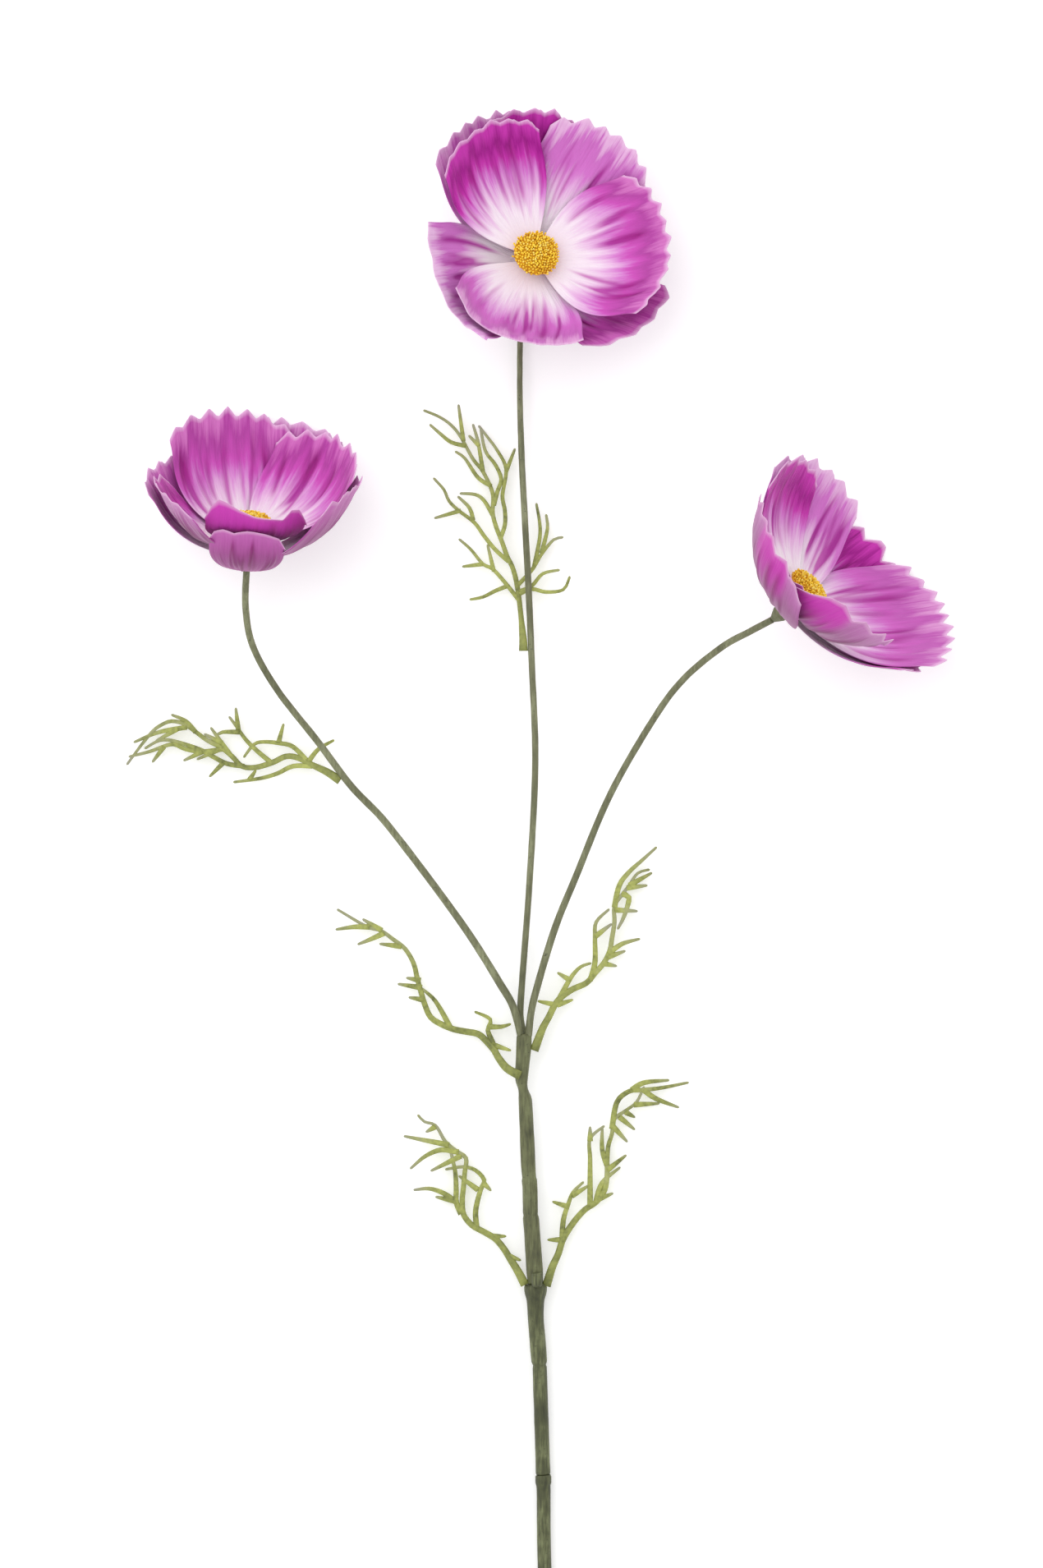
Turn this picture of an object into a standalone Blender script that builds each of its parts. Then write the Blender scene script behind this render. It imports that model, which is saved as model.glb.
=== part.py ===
# A cut cosmos spray lying flat: one stem, three branches, six thread-like leaves and
# three open flowers of eight toothed petals.  Routes and sizes are in millimetres.
# X runs across the spray, Y runs from the cut end to the flowers and Z is up.

import math

import bmesh
import bpy
from mathutils import Vector

MM = 0.001

# Petals.
PETAL_THICKNESS = 0.45
PETAL_BASE_RADIUS = 3.8
PETAL_BASE_SHARE = 0.13
PETAL_WIDEST = 0.78
PETAL_STEP = 0.95
PETAL_TEETH = 5
PETAL_TOOTH = 0.055
TOOTH_POWER = 6
CORNER_POWER = 2.5
LIFT_FADE = 1.3
CURVE_STEPS = 48
CURVE_SPAN = 1.2
PETAL_CORNER = 0.10
PETAL_LIFT = 14.0
PETAL_LIFT_DROP = 2.7
PETAL_ROWS = (0.0, 0.12, 0.28, 0.48, 0.70, 0.88, 1.0)
PETAL_COLUMNS = 2 * PETAL_TEETH

# Receptacle and flower centre, measured along the axis of the head.
RECEPTACLE_PROFILE = ((-3.0, 1.5), (-1.6, 2.3), (0.4, 3.4), (14.3, 3.4))
CENTRE_PROFILE = ((14.7, 7.6), (15.4, 8.9), (17.0, 9.0), (18.8, 7.8), (20.2, 5.0), (20.8, 1.8))
HEAD_SIDES = 16

# Stems.
STEM_GAP = 0.3
STEM_SIDES = 12
BRANCH_SIDES = 8
BRANCH_STEP = 11.0

# Leaves.
LEAF_STEP = 6.0
STALK_RADIUS = 1.35
THREAD_RADIUS = 0.85
SIDE_RADIUS = 0.62
TIP_RADIUS = 0.42
LEAF_FLATNESS = 0.72
STALK_LENGTH = 16.0
LEAF_RIPPLE = 0.9
WELD = 0.00001
SMOOTH_ANGLE = math.radians(42)

HEADS = {
    "top_head": {
        "base": (0.6, 528.9, 15.0),
        "axis": (0.21, 0.3, 0.93),
        "petals": (
            {"azimuth": 95, "width": 40, "length": 62, "lean": (9, 60), "level": 1.9},
            {"azimuth": 121, "width": 47, "length": 63, "lean": (11, 70), "level": 0.0},
            {"azimuth": 253, "width": 60, "length": 48, "lean": (9, 62), "level": 0.95,
             "corner": 0.0},
            {"azimuth": 4, "width": 64, "length": 60, "lean": (10, 67), "level": 0.0},
            {"azimuth": 60, "width": 46, "length": 63, "lean": (9, 64), "level": 0.95},
            {"azimuth": 117, "width": 46, "length": 61, "lean": (8, 56), "level": 2.9},
            {"azimuth": 329, "width": 37, "length": 50, "lean": (4, 42), "level": 3.7,
             "skew": -0.16},
            {"azimuth": 208, "width": 58, "length": 45, "lean": (7, 52), "level": 1.9,
             "corner": -0.24, "skew": -0.16},
        ),
    },
    "left_head": {
        "base": (-113.5, 408.5, 30.2),
        "axis": (0.07, 0.93, 0.36),
        "petals": (
            {"azimuth": 107, "width": 53, "length": 66, "lean": (16, 84), "level": 0.95},
            {"azimuth": 40, "width": 56, "length": 62, "lean": (16, 84), "level": 0.0},
            {"azimuth": 280, "width": 46, "length": 44, "lean": (16, 86), "level": 0.0},
            {"azimuth": 195, "width": 45, "length": 48, "lean": (15, 76), "level": 1.5},
            {"azimuth": 68, "width": 46, "length": 65, "lean": (13, 81), "level": 1.9},
            {"azimuth": 347, "width": 43, "length": 56, "lean": (14, 80), "level": 2.5},
            {"azimuth": 271, "width": 24, "length": 31, "lean": (8, 80), "level": 4.1},
            {"azimuth": 148, "width": 46, "length": 51, "lean": (13, 72), "level": 2.9},
        ),
    },
    "right_head": {
        "base": (102.5, 386.8, 43.2),
        "axis": (0.7, 0.58, 0.42),
        "petals": (
            {"azimuth": 131, "width": 50, "length": 64, "lean": (13, 68), "level": 1.1},
            {"azimuth": 47, "width": 58, "length": 70, "lean": (12, 54), "level": 1.9},
            {"azimuth": 266, "width": 42, "length": 37, "lean": (13, 82), "level": 0.0},
            {"azimuth": 229, "width": 60, "length": 52, "lean": (12, 73), "level": 2.1},
            {"azimuth": 85, "width": 32, "length": 63, "lean": (10, 51), "level": 3.75},
            {"azimuth": 31, "width": 50, "length": 58, "lean": (10, 49), "level": 2.8},
            {"azimuth": 308, "width": 57, "length": 53, "lean": (14, 82), "level": 0.95},
            {"azimuth": 164, "width": 44, "length": 62, "lean": (14, 80), "level": 0.0},
        ),
    },
}

# Stems: every point is (x, y, z, radius).
MAIN_STEM = (
    (7.2, 34.5, 3.5, 3.0),
    (5.8, 78.5, 4.4, 2.95),
    (5.6, 81.0, 4.5, 3.3),
    (4.2, 99.0, 5.0, 3.3),
    (4.1, 108.0, 5.2, 4.2),
    (4.1, 111.5, 5.3, 4.75),
    (4.0, 113.0, 5.4, 4.5),
)
STEM_BASE = (
    (9.7, -57.0, 3.1, 2.85),
    (7.7, 0.0, 3.2, 2.85),
    (7.4, 28.5, 3.3, 2.9),
    (7.3, 31.0, 3.4, 3.25),
    (7.2, 34.2, 3.5, 3.25),
)
UPPER_STEM = (
    (4.0, 113.3, 5.4, 3.3),
    (2.8, 133.0, 6.0, 3.35),
    (1.9, 152.0, 6.5, 3.1),
    (1.0, 163.0, 6.8, 3.05),
    (-0.1, 187.5, 7.6, 2.8),
    (-0.3, 189.5, 7.7, 2.7),
    (-1.0, 193.0, 7.8, 2.0),
    (-1.6, 197.0, 8.0, 2.6),
    (-1.2, 203.0, 8.1, 2.9),
    (-0.7, 209.0, 8.2, 3.1),
    (-0.5, 215.7, 8.2, 3.1),
)
STEM_NUB = (
    (4.7, 112.2, 12.2, 1.5),
    (4.7, 113.0, 12.0, 2.2),
    (4.7, 117.0, 12.0, 2.4),
    (4.6, 118.0, 12.1, 2.0),
)
BRANCHES = {
    "left_branch": (
        (-2.2, 216.4, 9.2, 1.45),
        (-5.0, 226.5, 9.6, 1.6),
        (-10.0, 235.5, 10.0, 1.6),
        (-26.5, 261.5, 10.8, 1.55),
        (-56.5, 301.5, 11.8, 1.5),
        (-71.5, 317.5, 12.2, 1.5),
        (-85.0, 335.5, 12.6, 1.45),
        (-101.5, 356.5, 13.2, 1.4),
        (-111.5, 374.5, 17.0, 1.4),
        (-114.3, 390.0, 22.0, 1.4),
        (-113.75, 405.2, 28.9, 1.4),
    ),
    "centre_branch": (
        (-0.5, 216.3, 6.1, 1.4),
        (-2.2, 223.0, 6.3, 1.4),
        (-1.5, 236.5, 6.8, 1.35),
        (1.5, 276.5, 8.2, 1.35),
        (4.0, 326.5, 9.0, 1.35),
        (2.5, 369.5, 9.0, 1.35),
        (1.0, 403.0, 8.6, 1.35),
        (-1.5, 449.5, 7.0, 1.3),
        (-2.4, 479.5, 4.5, 1.2),
        (-2.2, 503.5, 2.6, 1.2),
        (-1.9, 517.0, 3.4, 1.2),
        (-0.9, 524.6, 7.2, 1.2),
        (-0.1, 527.8, 11.6, 1.3),
    ),
    "right_branch": (
        (1.2, 216.1, 9.2, 1.5),
        (3.0, 228.5, 9.7, 1.5),
        (11.5, 257.5, 10.6, 1.5),
        (20.5, 280.0, 11.2, 1.45),
        (35.0, 314.5, 14.0, 1.4),
        (53.5, 346.5, 18.5, 1.4),
        (65.0, 361.5, 21.5, 1.4),
        (80.0, 374.0, 28.0, 1.4),
        (91.2, 380.2, 34.6, 1.4),
        (100.0, 384.8, 41.4, 1.4),
    ),
}

# Leaves: the main thread first, then its side threads, as (x, y).
LEAVES = {
    "centre_leaf": {
        "height": (9.4, 4.6),
        "settle": 11.0,
        "threads": (
            ((-0.9, 374.5), (-1.0, 377.5), (-2.4, 392), (-3.8, 401.5), (-5.5, 407.5), (-7.5, 411.5),
             (-10, 418.5), (-12, 423.5), (-13.5, 429.5), (-13.5, 437.5), (-17.5, 446.5),
             (-21.5, 451.5), (-26.5, 460.5), (-30.5, 465.5), (-35.5, 469), (-41.5, 471.5)),
            ((-25.5, 459), (-27.5, 473.5)),
            ((-24.5, 457), (-30.5, 458.5), (-35, 462), (-39, 465.5)),
            ((-14, 440.5), (-19.5, 444), (-25, 452), (-28.5, 454.5)),
            ((-17.5, 446.5), (-19.5, 458.5), (-21.5, 465.5)),
            ((-19, 457), (-23, 461)),
            ((-13, 432.5), (-11.5, 438.5), (-10, 443.5), (-12.5, 449.5), (-16.5, 455), (-18.5, 464.5)),
            ((-10.5, 418.5), (-8.5, 424.5), (-8.5, 430.5), (-9.5, 436.5), (-8, 447.5),
             (-11.5, 455), (-15.5, 460.5), (-19, 465)),
            ((-8, 446.5), (-4.5, 455.5)),
            ((-7, 409.5), (-12.5, 414.5), (-17, 420), (-21, 425.5), (-27.5, 430.5),
             (-31.5, 434.5), (-33.5, 439), (-37.5, 443.5)),
            ((-26.5, 430.5), (-37, 427.5)),
            ((-21.5, 426.5), (-23, 431.5), (-27.5, 436)),
            ((-13.5, 428.5), (-17, 434.5), (-20.5, 437), (-26.5, 437.5)),
            ((-3, 394), (-8.5, 401), (-13.5, 406.5), (-17.5, 408.5), (-22.5, 414.5), (-27, 418.5)),
            ((-17.5, 408.5), (-25.5, 407.5)),
            ((-13, 405.5), (-15.5, 416)),
            ((-7.5, 399.5), (-12.5, 397.5), (-17.5, 395), (-22.5, 394)),
            ((-4, 399), (2.5, 406), (6.5, 412.5), (11.5, 418.5), (15, 419.5)),
            ((6.5, 413), (9, 423), (8.5, 428.5)),
            ((3.5, 407.5), (6, 421.5), (4.5, 433)),
            ((-3.5, 397), (2.5, 399.5), (7, 404.5), (13.5, 406)),
            ((-3, 396), (2.5, 398.2), (8.5, 397), (15.5, 398), (18, 403)),
        ),
    },
    "left_leaf": {
        "height": (11.6, 4.4),
        "settle": 12.0,
        "threads": (
            ((-77.4, 320.6), (-81.5, 323.2), (-87.5, 326), (-93.5, 329), (-98.5, 329.5),
             (-104, 327), (-111, 325), (-116.5, 325.5), (-120.5, 329.5), (-125.5, 333.5),
             (-130.5, 336), (-136, 340), (-140.5, 343), (-145.5, 344), (-149.5, 342.5),
             (-153, 340), (-158, 334), (-163.5, 326.5)),
            ((-135.5, 339.5), (-139.5, 344), (-145, 346.5)),
            ((-139, 341.5), (-150.5, 339.5), (-160.5, 335.5)),
            ((-142.5, 341), (-151.5, 336)),
            ((-115.5, 325.5), (-122.5, 326.5), (-128.5, 329.5), (-134, 332.5), (-145, 336),
             (-150.5, 336), (-156, 333)),
            ((-124.5, 332.5), (-132.5, 331.5), (-139.5, 332.5), (-144.5, 334.5), (-149, 333.5),
             (-154.5, 331.5), (-162.5, 329.5)),
            ((-148.5, 333.5), (-153, 327.5)),
            ((-132.5, 331.5), (-140, 328)),
            ((-125.5, 332.5), (-134.5, 328.5)),
            ((-124, 327), (-129.5, 321.5)),
            ((-104.5, 327), (-110.5, 332), (-115, 336.5), (-118.5, 341.5), (-121.5, 345.5)),
            ((-118, 340.5), (-119, 349)),
            ((-117.5, 339.5), (-124.5, 339.5), (-127, 338)),
            ((-121.5, 330.5), (-126.5, 337.5), (-129, 341)),
            ((-124.5, 335), (-131.5, 338.5)),
            ((-89, 327), (-95.5, 333.5), (-101.5, 335), (-107.5, 335.5), (-111.5, 334.5),
             (-115.5, 329.5)),
            ((-101.5, 335), (-99.5, 342.5)),
            ((-89, 327.5), (-85, 332.5), (-79, 336)),
            ((-87.5, 325.5), (-95.5, 325.5), (-102, 322.5), (-109, 320.5), (-119.5, 319)),
            ((-113.5, 319.8), (-111, 323.5)),
        ),
    },
    "middle_left_leaf": {
        "height": (11.8, 4.0),
        "settle": 11.0,
        "threads": (
            ((-3.8, 199.5), (-8, 202), (-11.5, 206.5), (-12.5, 208.5), (-16, 212.5), (-19.5, 215.5),
             (-24.5, 216.5), (-29.5, 217.5), (-34.5, 219.5), (-39, 222.5), (-41.5, 228),
             (-43, 233), (-44.5, 238.5), (-46, 244.5), (-49.5, 250.5), (-54.5, 254.5),
             (-59.5, 258), (-65, 259.5), (-77, 266.5)),
            ((-64, 259.5), (-70.5, 259.5), (-77.5, 258.5)),
            ((-58, 257), (-63.5, 254.5), (-68.5, 252.5)),
            ((-51, 251.5), (-59.5, 252.5)),
            ((-59, 258), (-66.5, 262.5)),
            ((-42.5, 234.5), (-52, 236)),
            ((-41.5, 229.5), (-47.5, 230.5)),
            ((-43, 237.5), (-48.5, 238.5)),
            ((-30.5, 217.5), (-37, 229), (-43, 234.5)),
            ((-12.5, 207.5), (-13.5, 212), (-15.5, 217), (-14.5, 221.5), (-20.5, 224.5)),
            ((-15.4, 218.5), (-10, 218.5), (-6.5, 219.5)),
            ((-13, 211), (-6.5, 209)),
        ),
    },
    "middle_right_leaf": {
        "height": (8.6, 4.2),
        "settle": 14.0,
        "threads": (
            ((4.1, 210.5), (7, 218), (9.5, 222.5), (12, 227.5), (15, 231), (19.5, 234),
             (25, 236.5), (28.5, 240.5), (32, 244.5), (34.5, 249.5), (35.5, 255), (36.5, 261.5),
             (36.5, 268), (39.5, 272.5), (42.5, 276.5), (46, 281.5), (50.5, 283)),
            ((36.5, 267.5), (38.5, 276.5), (42.5, 282), (48, 287), (53.5, 292)),
            ((42.5, 276.5), (51.5, 281.5)),
            ((41.5, 275.5), (49.5, 276.5)),
            ((39.5, 273), (42.5, 271.5), (40.5, 264), (38, 259)),
            ((36.5, 266.5), (45.5, 266)),
            ((34, 248.5), (39.5, 252.5), (46.5, 254.5)),
            ((33.5, 247), (40.5, 249.5)),
            ((32, 244.5), (37, 243.5)),
            ((26.5, 237.5), (28.5, 245), (28.5, 255), (29, 261.5), (34, 266.5)),
            ((28.5, 255.5), (35, 260.5)),
            ((13, 228.5), (18.5, 238.5), (22.5, 243), (26.5, 244.5)),
            ((18.5, 237.5), (13.5, 240.5)),
            ((12.5, 227.5), (5.5, 229)),
            ((13, 227.5), (19, 229.5)),
        ),
    },
    "lower_left_leaf": {
        "height": (6.4, 4.0),
        "settle": 12.0,
        "threads": (
            ((-1.0, 114.2), (-3.3, 118.5), (-6.5, 123.5), (-9, 127.5), (-12.5, 131.5),
             (-17.5, 134.5), (-22, 137), (-25.5, 141.5), (-26, 147.5), (-25.5, 152.5),
             (-25, 158.5), (-24.5, 164.5), (-28.5, 167.5), (-33, 171.5), (-37, 178),
             (-41.5, 179.5), (-44, 182)),
            ((-37, 177.5), (-40.5, 175.5)),
            ((-31.5, 170), (-49.5, 173.5)),
            ((-27.5, 167), (-34.5, 168), (-41, 165.5), (-47, 160.5)),
            ((-26.5, 165.5), (-38.5, 159.5)),
            ((-26.5, 141.5), (-28.5, 146.5), (-28.5, 151.5), (-29, 159.5), (-31.5, 170.5)),
            ((-28, 146), (-33.5, 150), (-39.5, 152), (-45.5, 151.5)),
            ((-29.5, 147), (-36.5, 148.5)),
            ((-20, 135.5), (-20.5, 143), (-18.5, 151.5), (-17, 155.5), (-20.5, 159.5),
             (-25.5, 161), (-32.5, 160)),
            ((-17.5, 154.5), (-14.5, 151.5)),
            ((-19.5, 151.5), (-27, 157)),
            ((-14, 132.5), (-8.5, 132.5)),
            ((-7, 124.5), (-2.4, 122.8)),
        ),
    },
    "lower_right_leaf": {
        "height": (6.4, 4.2),
        "settle": 12.0,
        "threads": (
            ((9.0, 113.8), (11, 120), (13.5, 125.5), (15.5, 131.5), (20, 138.5), (24.5, 143.5),
             (29, 146.5), (32.5, 151.5), (33.5, 157.5), (33.5, 163), (34, 169.5), (35.5, 174.5),
             (36.5, 180.5), (41, 184), (45.5, 187.5), (48.5, 193.5)),
            ((35.5, 176.5), (37.5, 187.5), (42.5, 192), (48, 192.5), (56.5, 193.5), (66.5, 195.5)),
            ((43.5, 192.5), (48.5, 195.5), (58.5, 196.5)),
            ((48.5, 192.5), (53.5, 189), (62.5, 185.5)),
            ((44.5, 186.5), (54.5, 187)),
            ((41, 183.5), (44.5, 181.5)),
            ((38.5, 181.5), (44.5, 176.5)),
            ((36, 177.5), (41.5, 171.5)),
            ((33.5, 159.5), (41, 165.5)),
            ((29, 147), (31.5, 154.5), (38.5, 160.5)),
            ((29.5, 147.5), (35.5, 150)),
            ((26.5, 144.5), (26.5, 156), (26.5, 164.5), (26.5, 172.5), (32, 177.5)),
            ((26.5, 171.5), (26.5, 177)),
            ((33.5, 161.5), (31.5, 168), (31.5, 176.5)),
            ((15, 130.5), (15.5, 139), (17.5, 145.5), (19.5, 150.5), (23.5, 154.5)),
            ((17.5, 144.5), (11.5, 146.5)),
            ((19, 149), (25.5, 153)),
            ((14.5, 131), (9.5, 131)),
        ),
    },
}


def clear_scene():
    for item in list(bpy.data.objects):
        bpy.data.objects.remove(item, do_unlink=True)


def make_material(name, colour, roughness):
    material = bpy.data.materials.new(name)
    material.use_nodes = True
    shader = material.node_tree.nodes["Principled BSDF"]
    shader.inputs["Base Color"].default_value = (*colour, 1.0)
    shader.inputs["Roughness"].default_value = roughness
    shader.inputs["Metallic"].default_value = 0.0
    material.diffuse_color = (*colour, 1.0)
    return material


def make_object(name, points, faces, material):
    mesh = bpy.data.meshes.new(name)
    mesh.from_pydata([Vector(point) * MM for point in points], [], faces)
    body = bmesh.new()
    body.from_mesh(mesh)
    bmesh.ops.recalc_face_normals(body, faces=body.faces)
    body.to_mesh(mesh)
    body.free()
    mesh.materials.append(material)
    result = bpy.data.objects.new(name, mesh)
    bpy.context.scene.collection.objects.link(result)
    return result


def shade(item):
    item.data.shade_smooth()
    item.data.set_sharp_from_angle(angle=SMOOTH_ANGLE)


def mix(a, b, share):
    return a + (b - a) * share


def clamp(value):
    return min(1.0, max(0.0, value))


def smooth_route(points, step):
    """Lay evenly spaced points along a soft curve through the given ones."""
    route = [tuple(points[0])]
    count = len(points)
    for index in range(count - 1):
        before = Vector(points[max(index - 1, 0)])
        start = Vector(points[index])
        finish = Vector(points[index + 1])
        after = Vector(points[min(index + 2, count - 1)])
        pieces = max(1, round((finish - start).length / step))
        for piece in range(1, pieces + 1):
            t = piece / pieces
            out_slope = (finish - before) * 0.5
            in_slope = (after - start) * 0.5
            point = (start * (2 * t ** 3 - 3 * t ** 2 + 1)
                     + out_slope * (t ** 3 - 2 * t ** 2 + t)
                     + finish * (3 * t ** 2 - 2 * t ** 3)
                     + in_slope * (t ** 3 - t ** 2))
            route.append(tuple(point))
    return route


def tube(route, sides, flatness=1.0):
    """Sweep a round or flattened section along (x, y, z, radius) points."""
    points = []
    faces = []
    places = [Vector(spot[:3]) for spot in route]
    side_way = None
    for index, place in enumerate(places):
        ahead = places[min(index + 1, len(places) - 1)]
        behind = places[max(index - 1, 0)]
        along = (ahead - behind).normalized()
        if side_way is None:
            side_way = along.cross(Vector((0, 0, 1))).normalized()
        side_way = (side_way - along * side_way.dot(along)).normalized()
        up_way = side_way.cross(along)
        radius = route[index][3]
        for side in range(sides):
            angle = 2 * math.pi * (side + 0.5) / sides
            points.append(place + side_way * math.cos(angle) * radius
                          + up_way * math.sin(angle) * radius * flatness)
    rings = len(places)
    for ring in range(rings - 1):
        for side in range(sides):
            following = (side + 1) % sides
            faces.append((ring * sides + side, ring * sides + following,
                          (ring + 1) * sides + following, (ring + 1) * sides + side))
    faces.append(tuple(reversed(range(sides))))
    faces.append(tuple(range((rings - 1) * sides, rings * sides)))
    return points, faces


def head_frame(head):
    axis = Vector(head["axis"]).normalized()
    across = axis.cross(Vector((0, 0, 1))).normalized()
    if abs(axis.z) > 0.8:
        across = (Vector((1, 0, 0)) - axis * axis.x).normalized()
    upright = axis.cross(across)
    base = Vector(head["base"])
    return base, across, upright, axis


def head_point(frame, radius, angle, height):
    base, across, upright, axis = frame
    return (base + across * (radius * math.cos(angle)) + upright * (radius * math.sin(angle))
            + axis * height)


def petal_curve(petal):
    """Walk out along the middle of a petal; returns reach, radius, height and slope."""
    steps = CURVE_STEPS
    span = CURVE_SPAN
    first, last = petal["lean"]
    radius = PETAL_BASE_RADIUS
    height = 0.0
    curve = [(0.0, radius, height, math.radians(first))]
    for index in range(steps):
        reach = span * (index + 0.5) / steps
        slope = math.radians(mix(first, last, reach))
        radius += math.cos(slope) * petal["length"] * span / steps
        height += math.sin(slope) * petal["length"] * span / steps
        end = span * (index + 1) / steps
        curve.append((end, radius, height, math.radians(mix(first, last, end))))
    return curve


def read_curve(curve, reach):
    place = clamp(reach / curve[-1][0]) * (len(curve) - 1)
    index = min(int(place), len(curve) - 2)
    share = place - index
    return [mix(curve[index][k], curve[index + 1][k], share) for k in (1, 2, 3)]


def tooth_wave(across):
    phase = (across + 1) * PETAL_TEETH / 2
    return 1 - abs((phase % 1) * 2 - 1)


def petal_point(petal, curve, across, along, depth):
    """One point of a petal; depth is how far the point lies outside the level surface."""
    corner = 1 - petal.get("corner", PETAL_CORNER) * abs(across) ** CORNER_POWER + petal.get("skew", 0.0) * across
    reach = along * corner + PETAL_TOOTH * tooth_wave(across) * along ** TOOTH_POWER
    radius, height, slope = read_curve(curve, reach)
    rise = math.sin(math.pi / 2 * clamp(along / PETAL_WIDEST))
    half = petal["width"] / 2 * mix(PETAL_BASE_SHARE, 1.0, rise)
    outward = petal["level"] * PETAL_STEP + depth
    lift = (PETAL_LIFT - PETAL_LIFT_DROP * petal["level"]) * (1 - along) ** LIFT_FADE
    angle = math.radians(petal["azimuth"]) - across * half / radius
    return radius + outward * math.sin(slope), angle, height - outward * math.cos(slope) + lift


def make_petal(name, frame, petal, material):
    curve = petal_curve(petal)
    columns = PETAL_COLUMNS + 1
    points = []
    for depth in (0.0, PETAL_THICKNESS):
        for along in PETAL_ROWS:
            for column in range(columns):
                across = 2 * column / PETAL_COLUMNS - 1
                points.append(head_point(frame, *petal_point(petal, curve, across, along, depth)))
    rows = len(PETAL_ROWS)
    layer = rows * columns
    faces = []
    for row in range(rows - 1):
        for column in range(PETAL_COLUMNS):
            corner = row * columns + column
            faces.append((corner, corner + 1, corner + columns + 1, corner + columns))
            faces.append((layer + corner, layer + corner + columns,
                          layer + corner + columns + 1, layer + corner + 1))
    rim = list(range(columns))
    rim += [row * columns + PETAL_COLUMNS for row in range(1, rows)]
    rim += [(rows - 1) * columns + column for column in range(PETAL_COLUMNS - 1, -1, -1)]
    rim += [row * columns for row in range(rows - 2, 0, -1)]
    for index, corner in enumerate(rim):
        following = rim[(index + 1) % len(rim)]
        faces.append((corner, following, layer + following, layer + corner))
    shade(make_object(name, points, faces, material))


def make_round(name, frame, profile, material):
    points = []
    faces = []
    for height, radius in profile:
        for side in range(HEAD_SIDES):
            points.append(head_point(frame, radius, 2 * math.pi * side / HEAD_SIDES, height))
    for ring in range(len(profile) - 1):
        for side in range(HEAD_SIDES):
            following = (side + 1) % HEAD_SIDES
            faces.append((ring * HEAD_SIDES + side, ring * HEAD_SIDES + following,
                          (ring + 1) * HEAD_SIDES + following, (ring + 1) * HEAD_SIDES + side))
    faces.append(tuple(reversed(range(HEAD_SIDES))))
    faces.append(tuple(range((len(profile) - 1) * HEAD_SIDES, len(profile) * HEAD_SIDES)))
    shade(make_object(name, points, faces, material))


def make_head(name, head, materials):
    frame = head_frame(head)
    for index, petal in enumerate(head["petals"]):
        make_petal(f"{name}_petal_{index + 1}", frame, petal, materials["petal"])
    make_round(f"{name}_receptacle", frame, RECEPTACLE_PROFILE, materials["receptacle"])
    make_round(f"{name}_centre", frame, CENTRE_PROFILE, materials["centre"])


def leaf_height(leaf, x, y):
    """Leaf threads leave the stem high and settle towards the ground."""
    start = leaf["threads"][0][0]
    distance = math.hypot(x - start[0], y - start[1])
    high, low = leaf["height"]
    near = math.exp(-(distance / leaf["settle"]) ** 2)
    ripple = math.sin(x / 8.0) * math.cos(y / 9.0) * LEAF_RIPPLE * (1 - near)
    return mix(low, high, near) + ripple


def thread_route(leaf, thread, first_radius, last_radius, stalk):
    flat = smooth_route([(x, y, 0.0) for x, y in thread], LEAF_STEP)
    travelled = 0.0
    total = sum(math.dist(a, b) for a, b in zip(flat, flat[1:]))
    route = []
    for index, (x, y, _) in enumerate(flat):
        if index:
            travelled += math.dist(flat[index - 1], flat[index])
        radius = mix(first_radius, last_radius, travelled / total)
        if stalk:
            radius = mix(STALK_RADIUS, radius, clamp(travelled / STALK_LENGTH))
        route.append((x, y, leaf_height(leaf, x, y), radius))
    return route


def join_bodies(bodies):
    whole = bodies[0]
    for other in bodies[1:]:
        modifier = whole.modifiers.new("join", "BOOLEAN")
        modifier.operation = "UNION"
        modifier.solver = "EXACT"
        modifier.object = other
        depsgraph = bpy.context.evaluated_depsgraph_get()
        merged = bpy.data.meshes.new_from_object(whole.evaluated_get(depsgraph))
        whole.modifiers.clear()
        whole.data = merged
        bpy.data.objects.remove(other, do_unlink=True)
    return whole


def weld(item):
    """Close the joins of a united body and drop slivers the join leaves behind."""
    body = bmesh.new()
    body.from_mesh(item.data)
    bmesh.ops.triangulate(body, faces=body.faces)
    bmesh.ops.remove_doubles(body, verts=body.verts, dist=WELD)
    bmesh.ops.dissolve_degenerate(body, edges=body.edges, dist=WELD)
    body.faces.ensure_lookup_table()
    unseen = set(body.faces)
    islands = []
    while unseen:
        group = [unseen.pop()]
        for face in group:
            for edge in face.edges:
                for other in edge.link_faces:
                    if other in unseen:
                        unseen.remove(other)
                        group.append(other)
        islands.append(group)
    largest = max(len(group) for group in islands)
    strays = [face for group in islands if len(group) < largest / 20 for face in group]
    bmesh.ops.delete(body, geom=strays, context="FACES")
    loose = [vertex for vertex in body.verts if not vertex.link_faces]
    bmesh.ops.delete(body, geom=loose, context="VERTS")
    body.to_mesh(item.data)
    body.free()


def make_leaf(name, leaf, material):
    bodies = []
    for index, thread in enumerate(leaf["threads"]):
        if index == 0:
            route = thread_route(leaf, thread, THREAD_RADIUS, TIP_RADIUS, True)
        else:
            route = thread_route(leaf, thread, SIDE_RADIUS, TIP_RADIUS, False)
        points, faces = tube(route, 6 if index == 0 else 5, LEAF_FLATNESS)
        bodies.append(make_object(name if index == 0 else f"{name}_thread_{index}", points, faces, material))
    whole = join_bodies(bodies)
    weld(whole)
    shade(whole)


def make_stem(name, points, sides, step, material):
    route = smooth_route(points, step) if step else points
    shade(make_object(name, *tube(route, sides), material))


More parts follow.
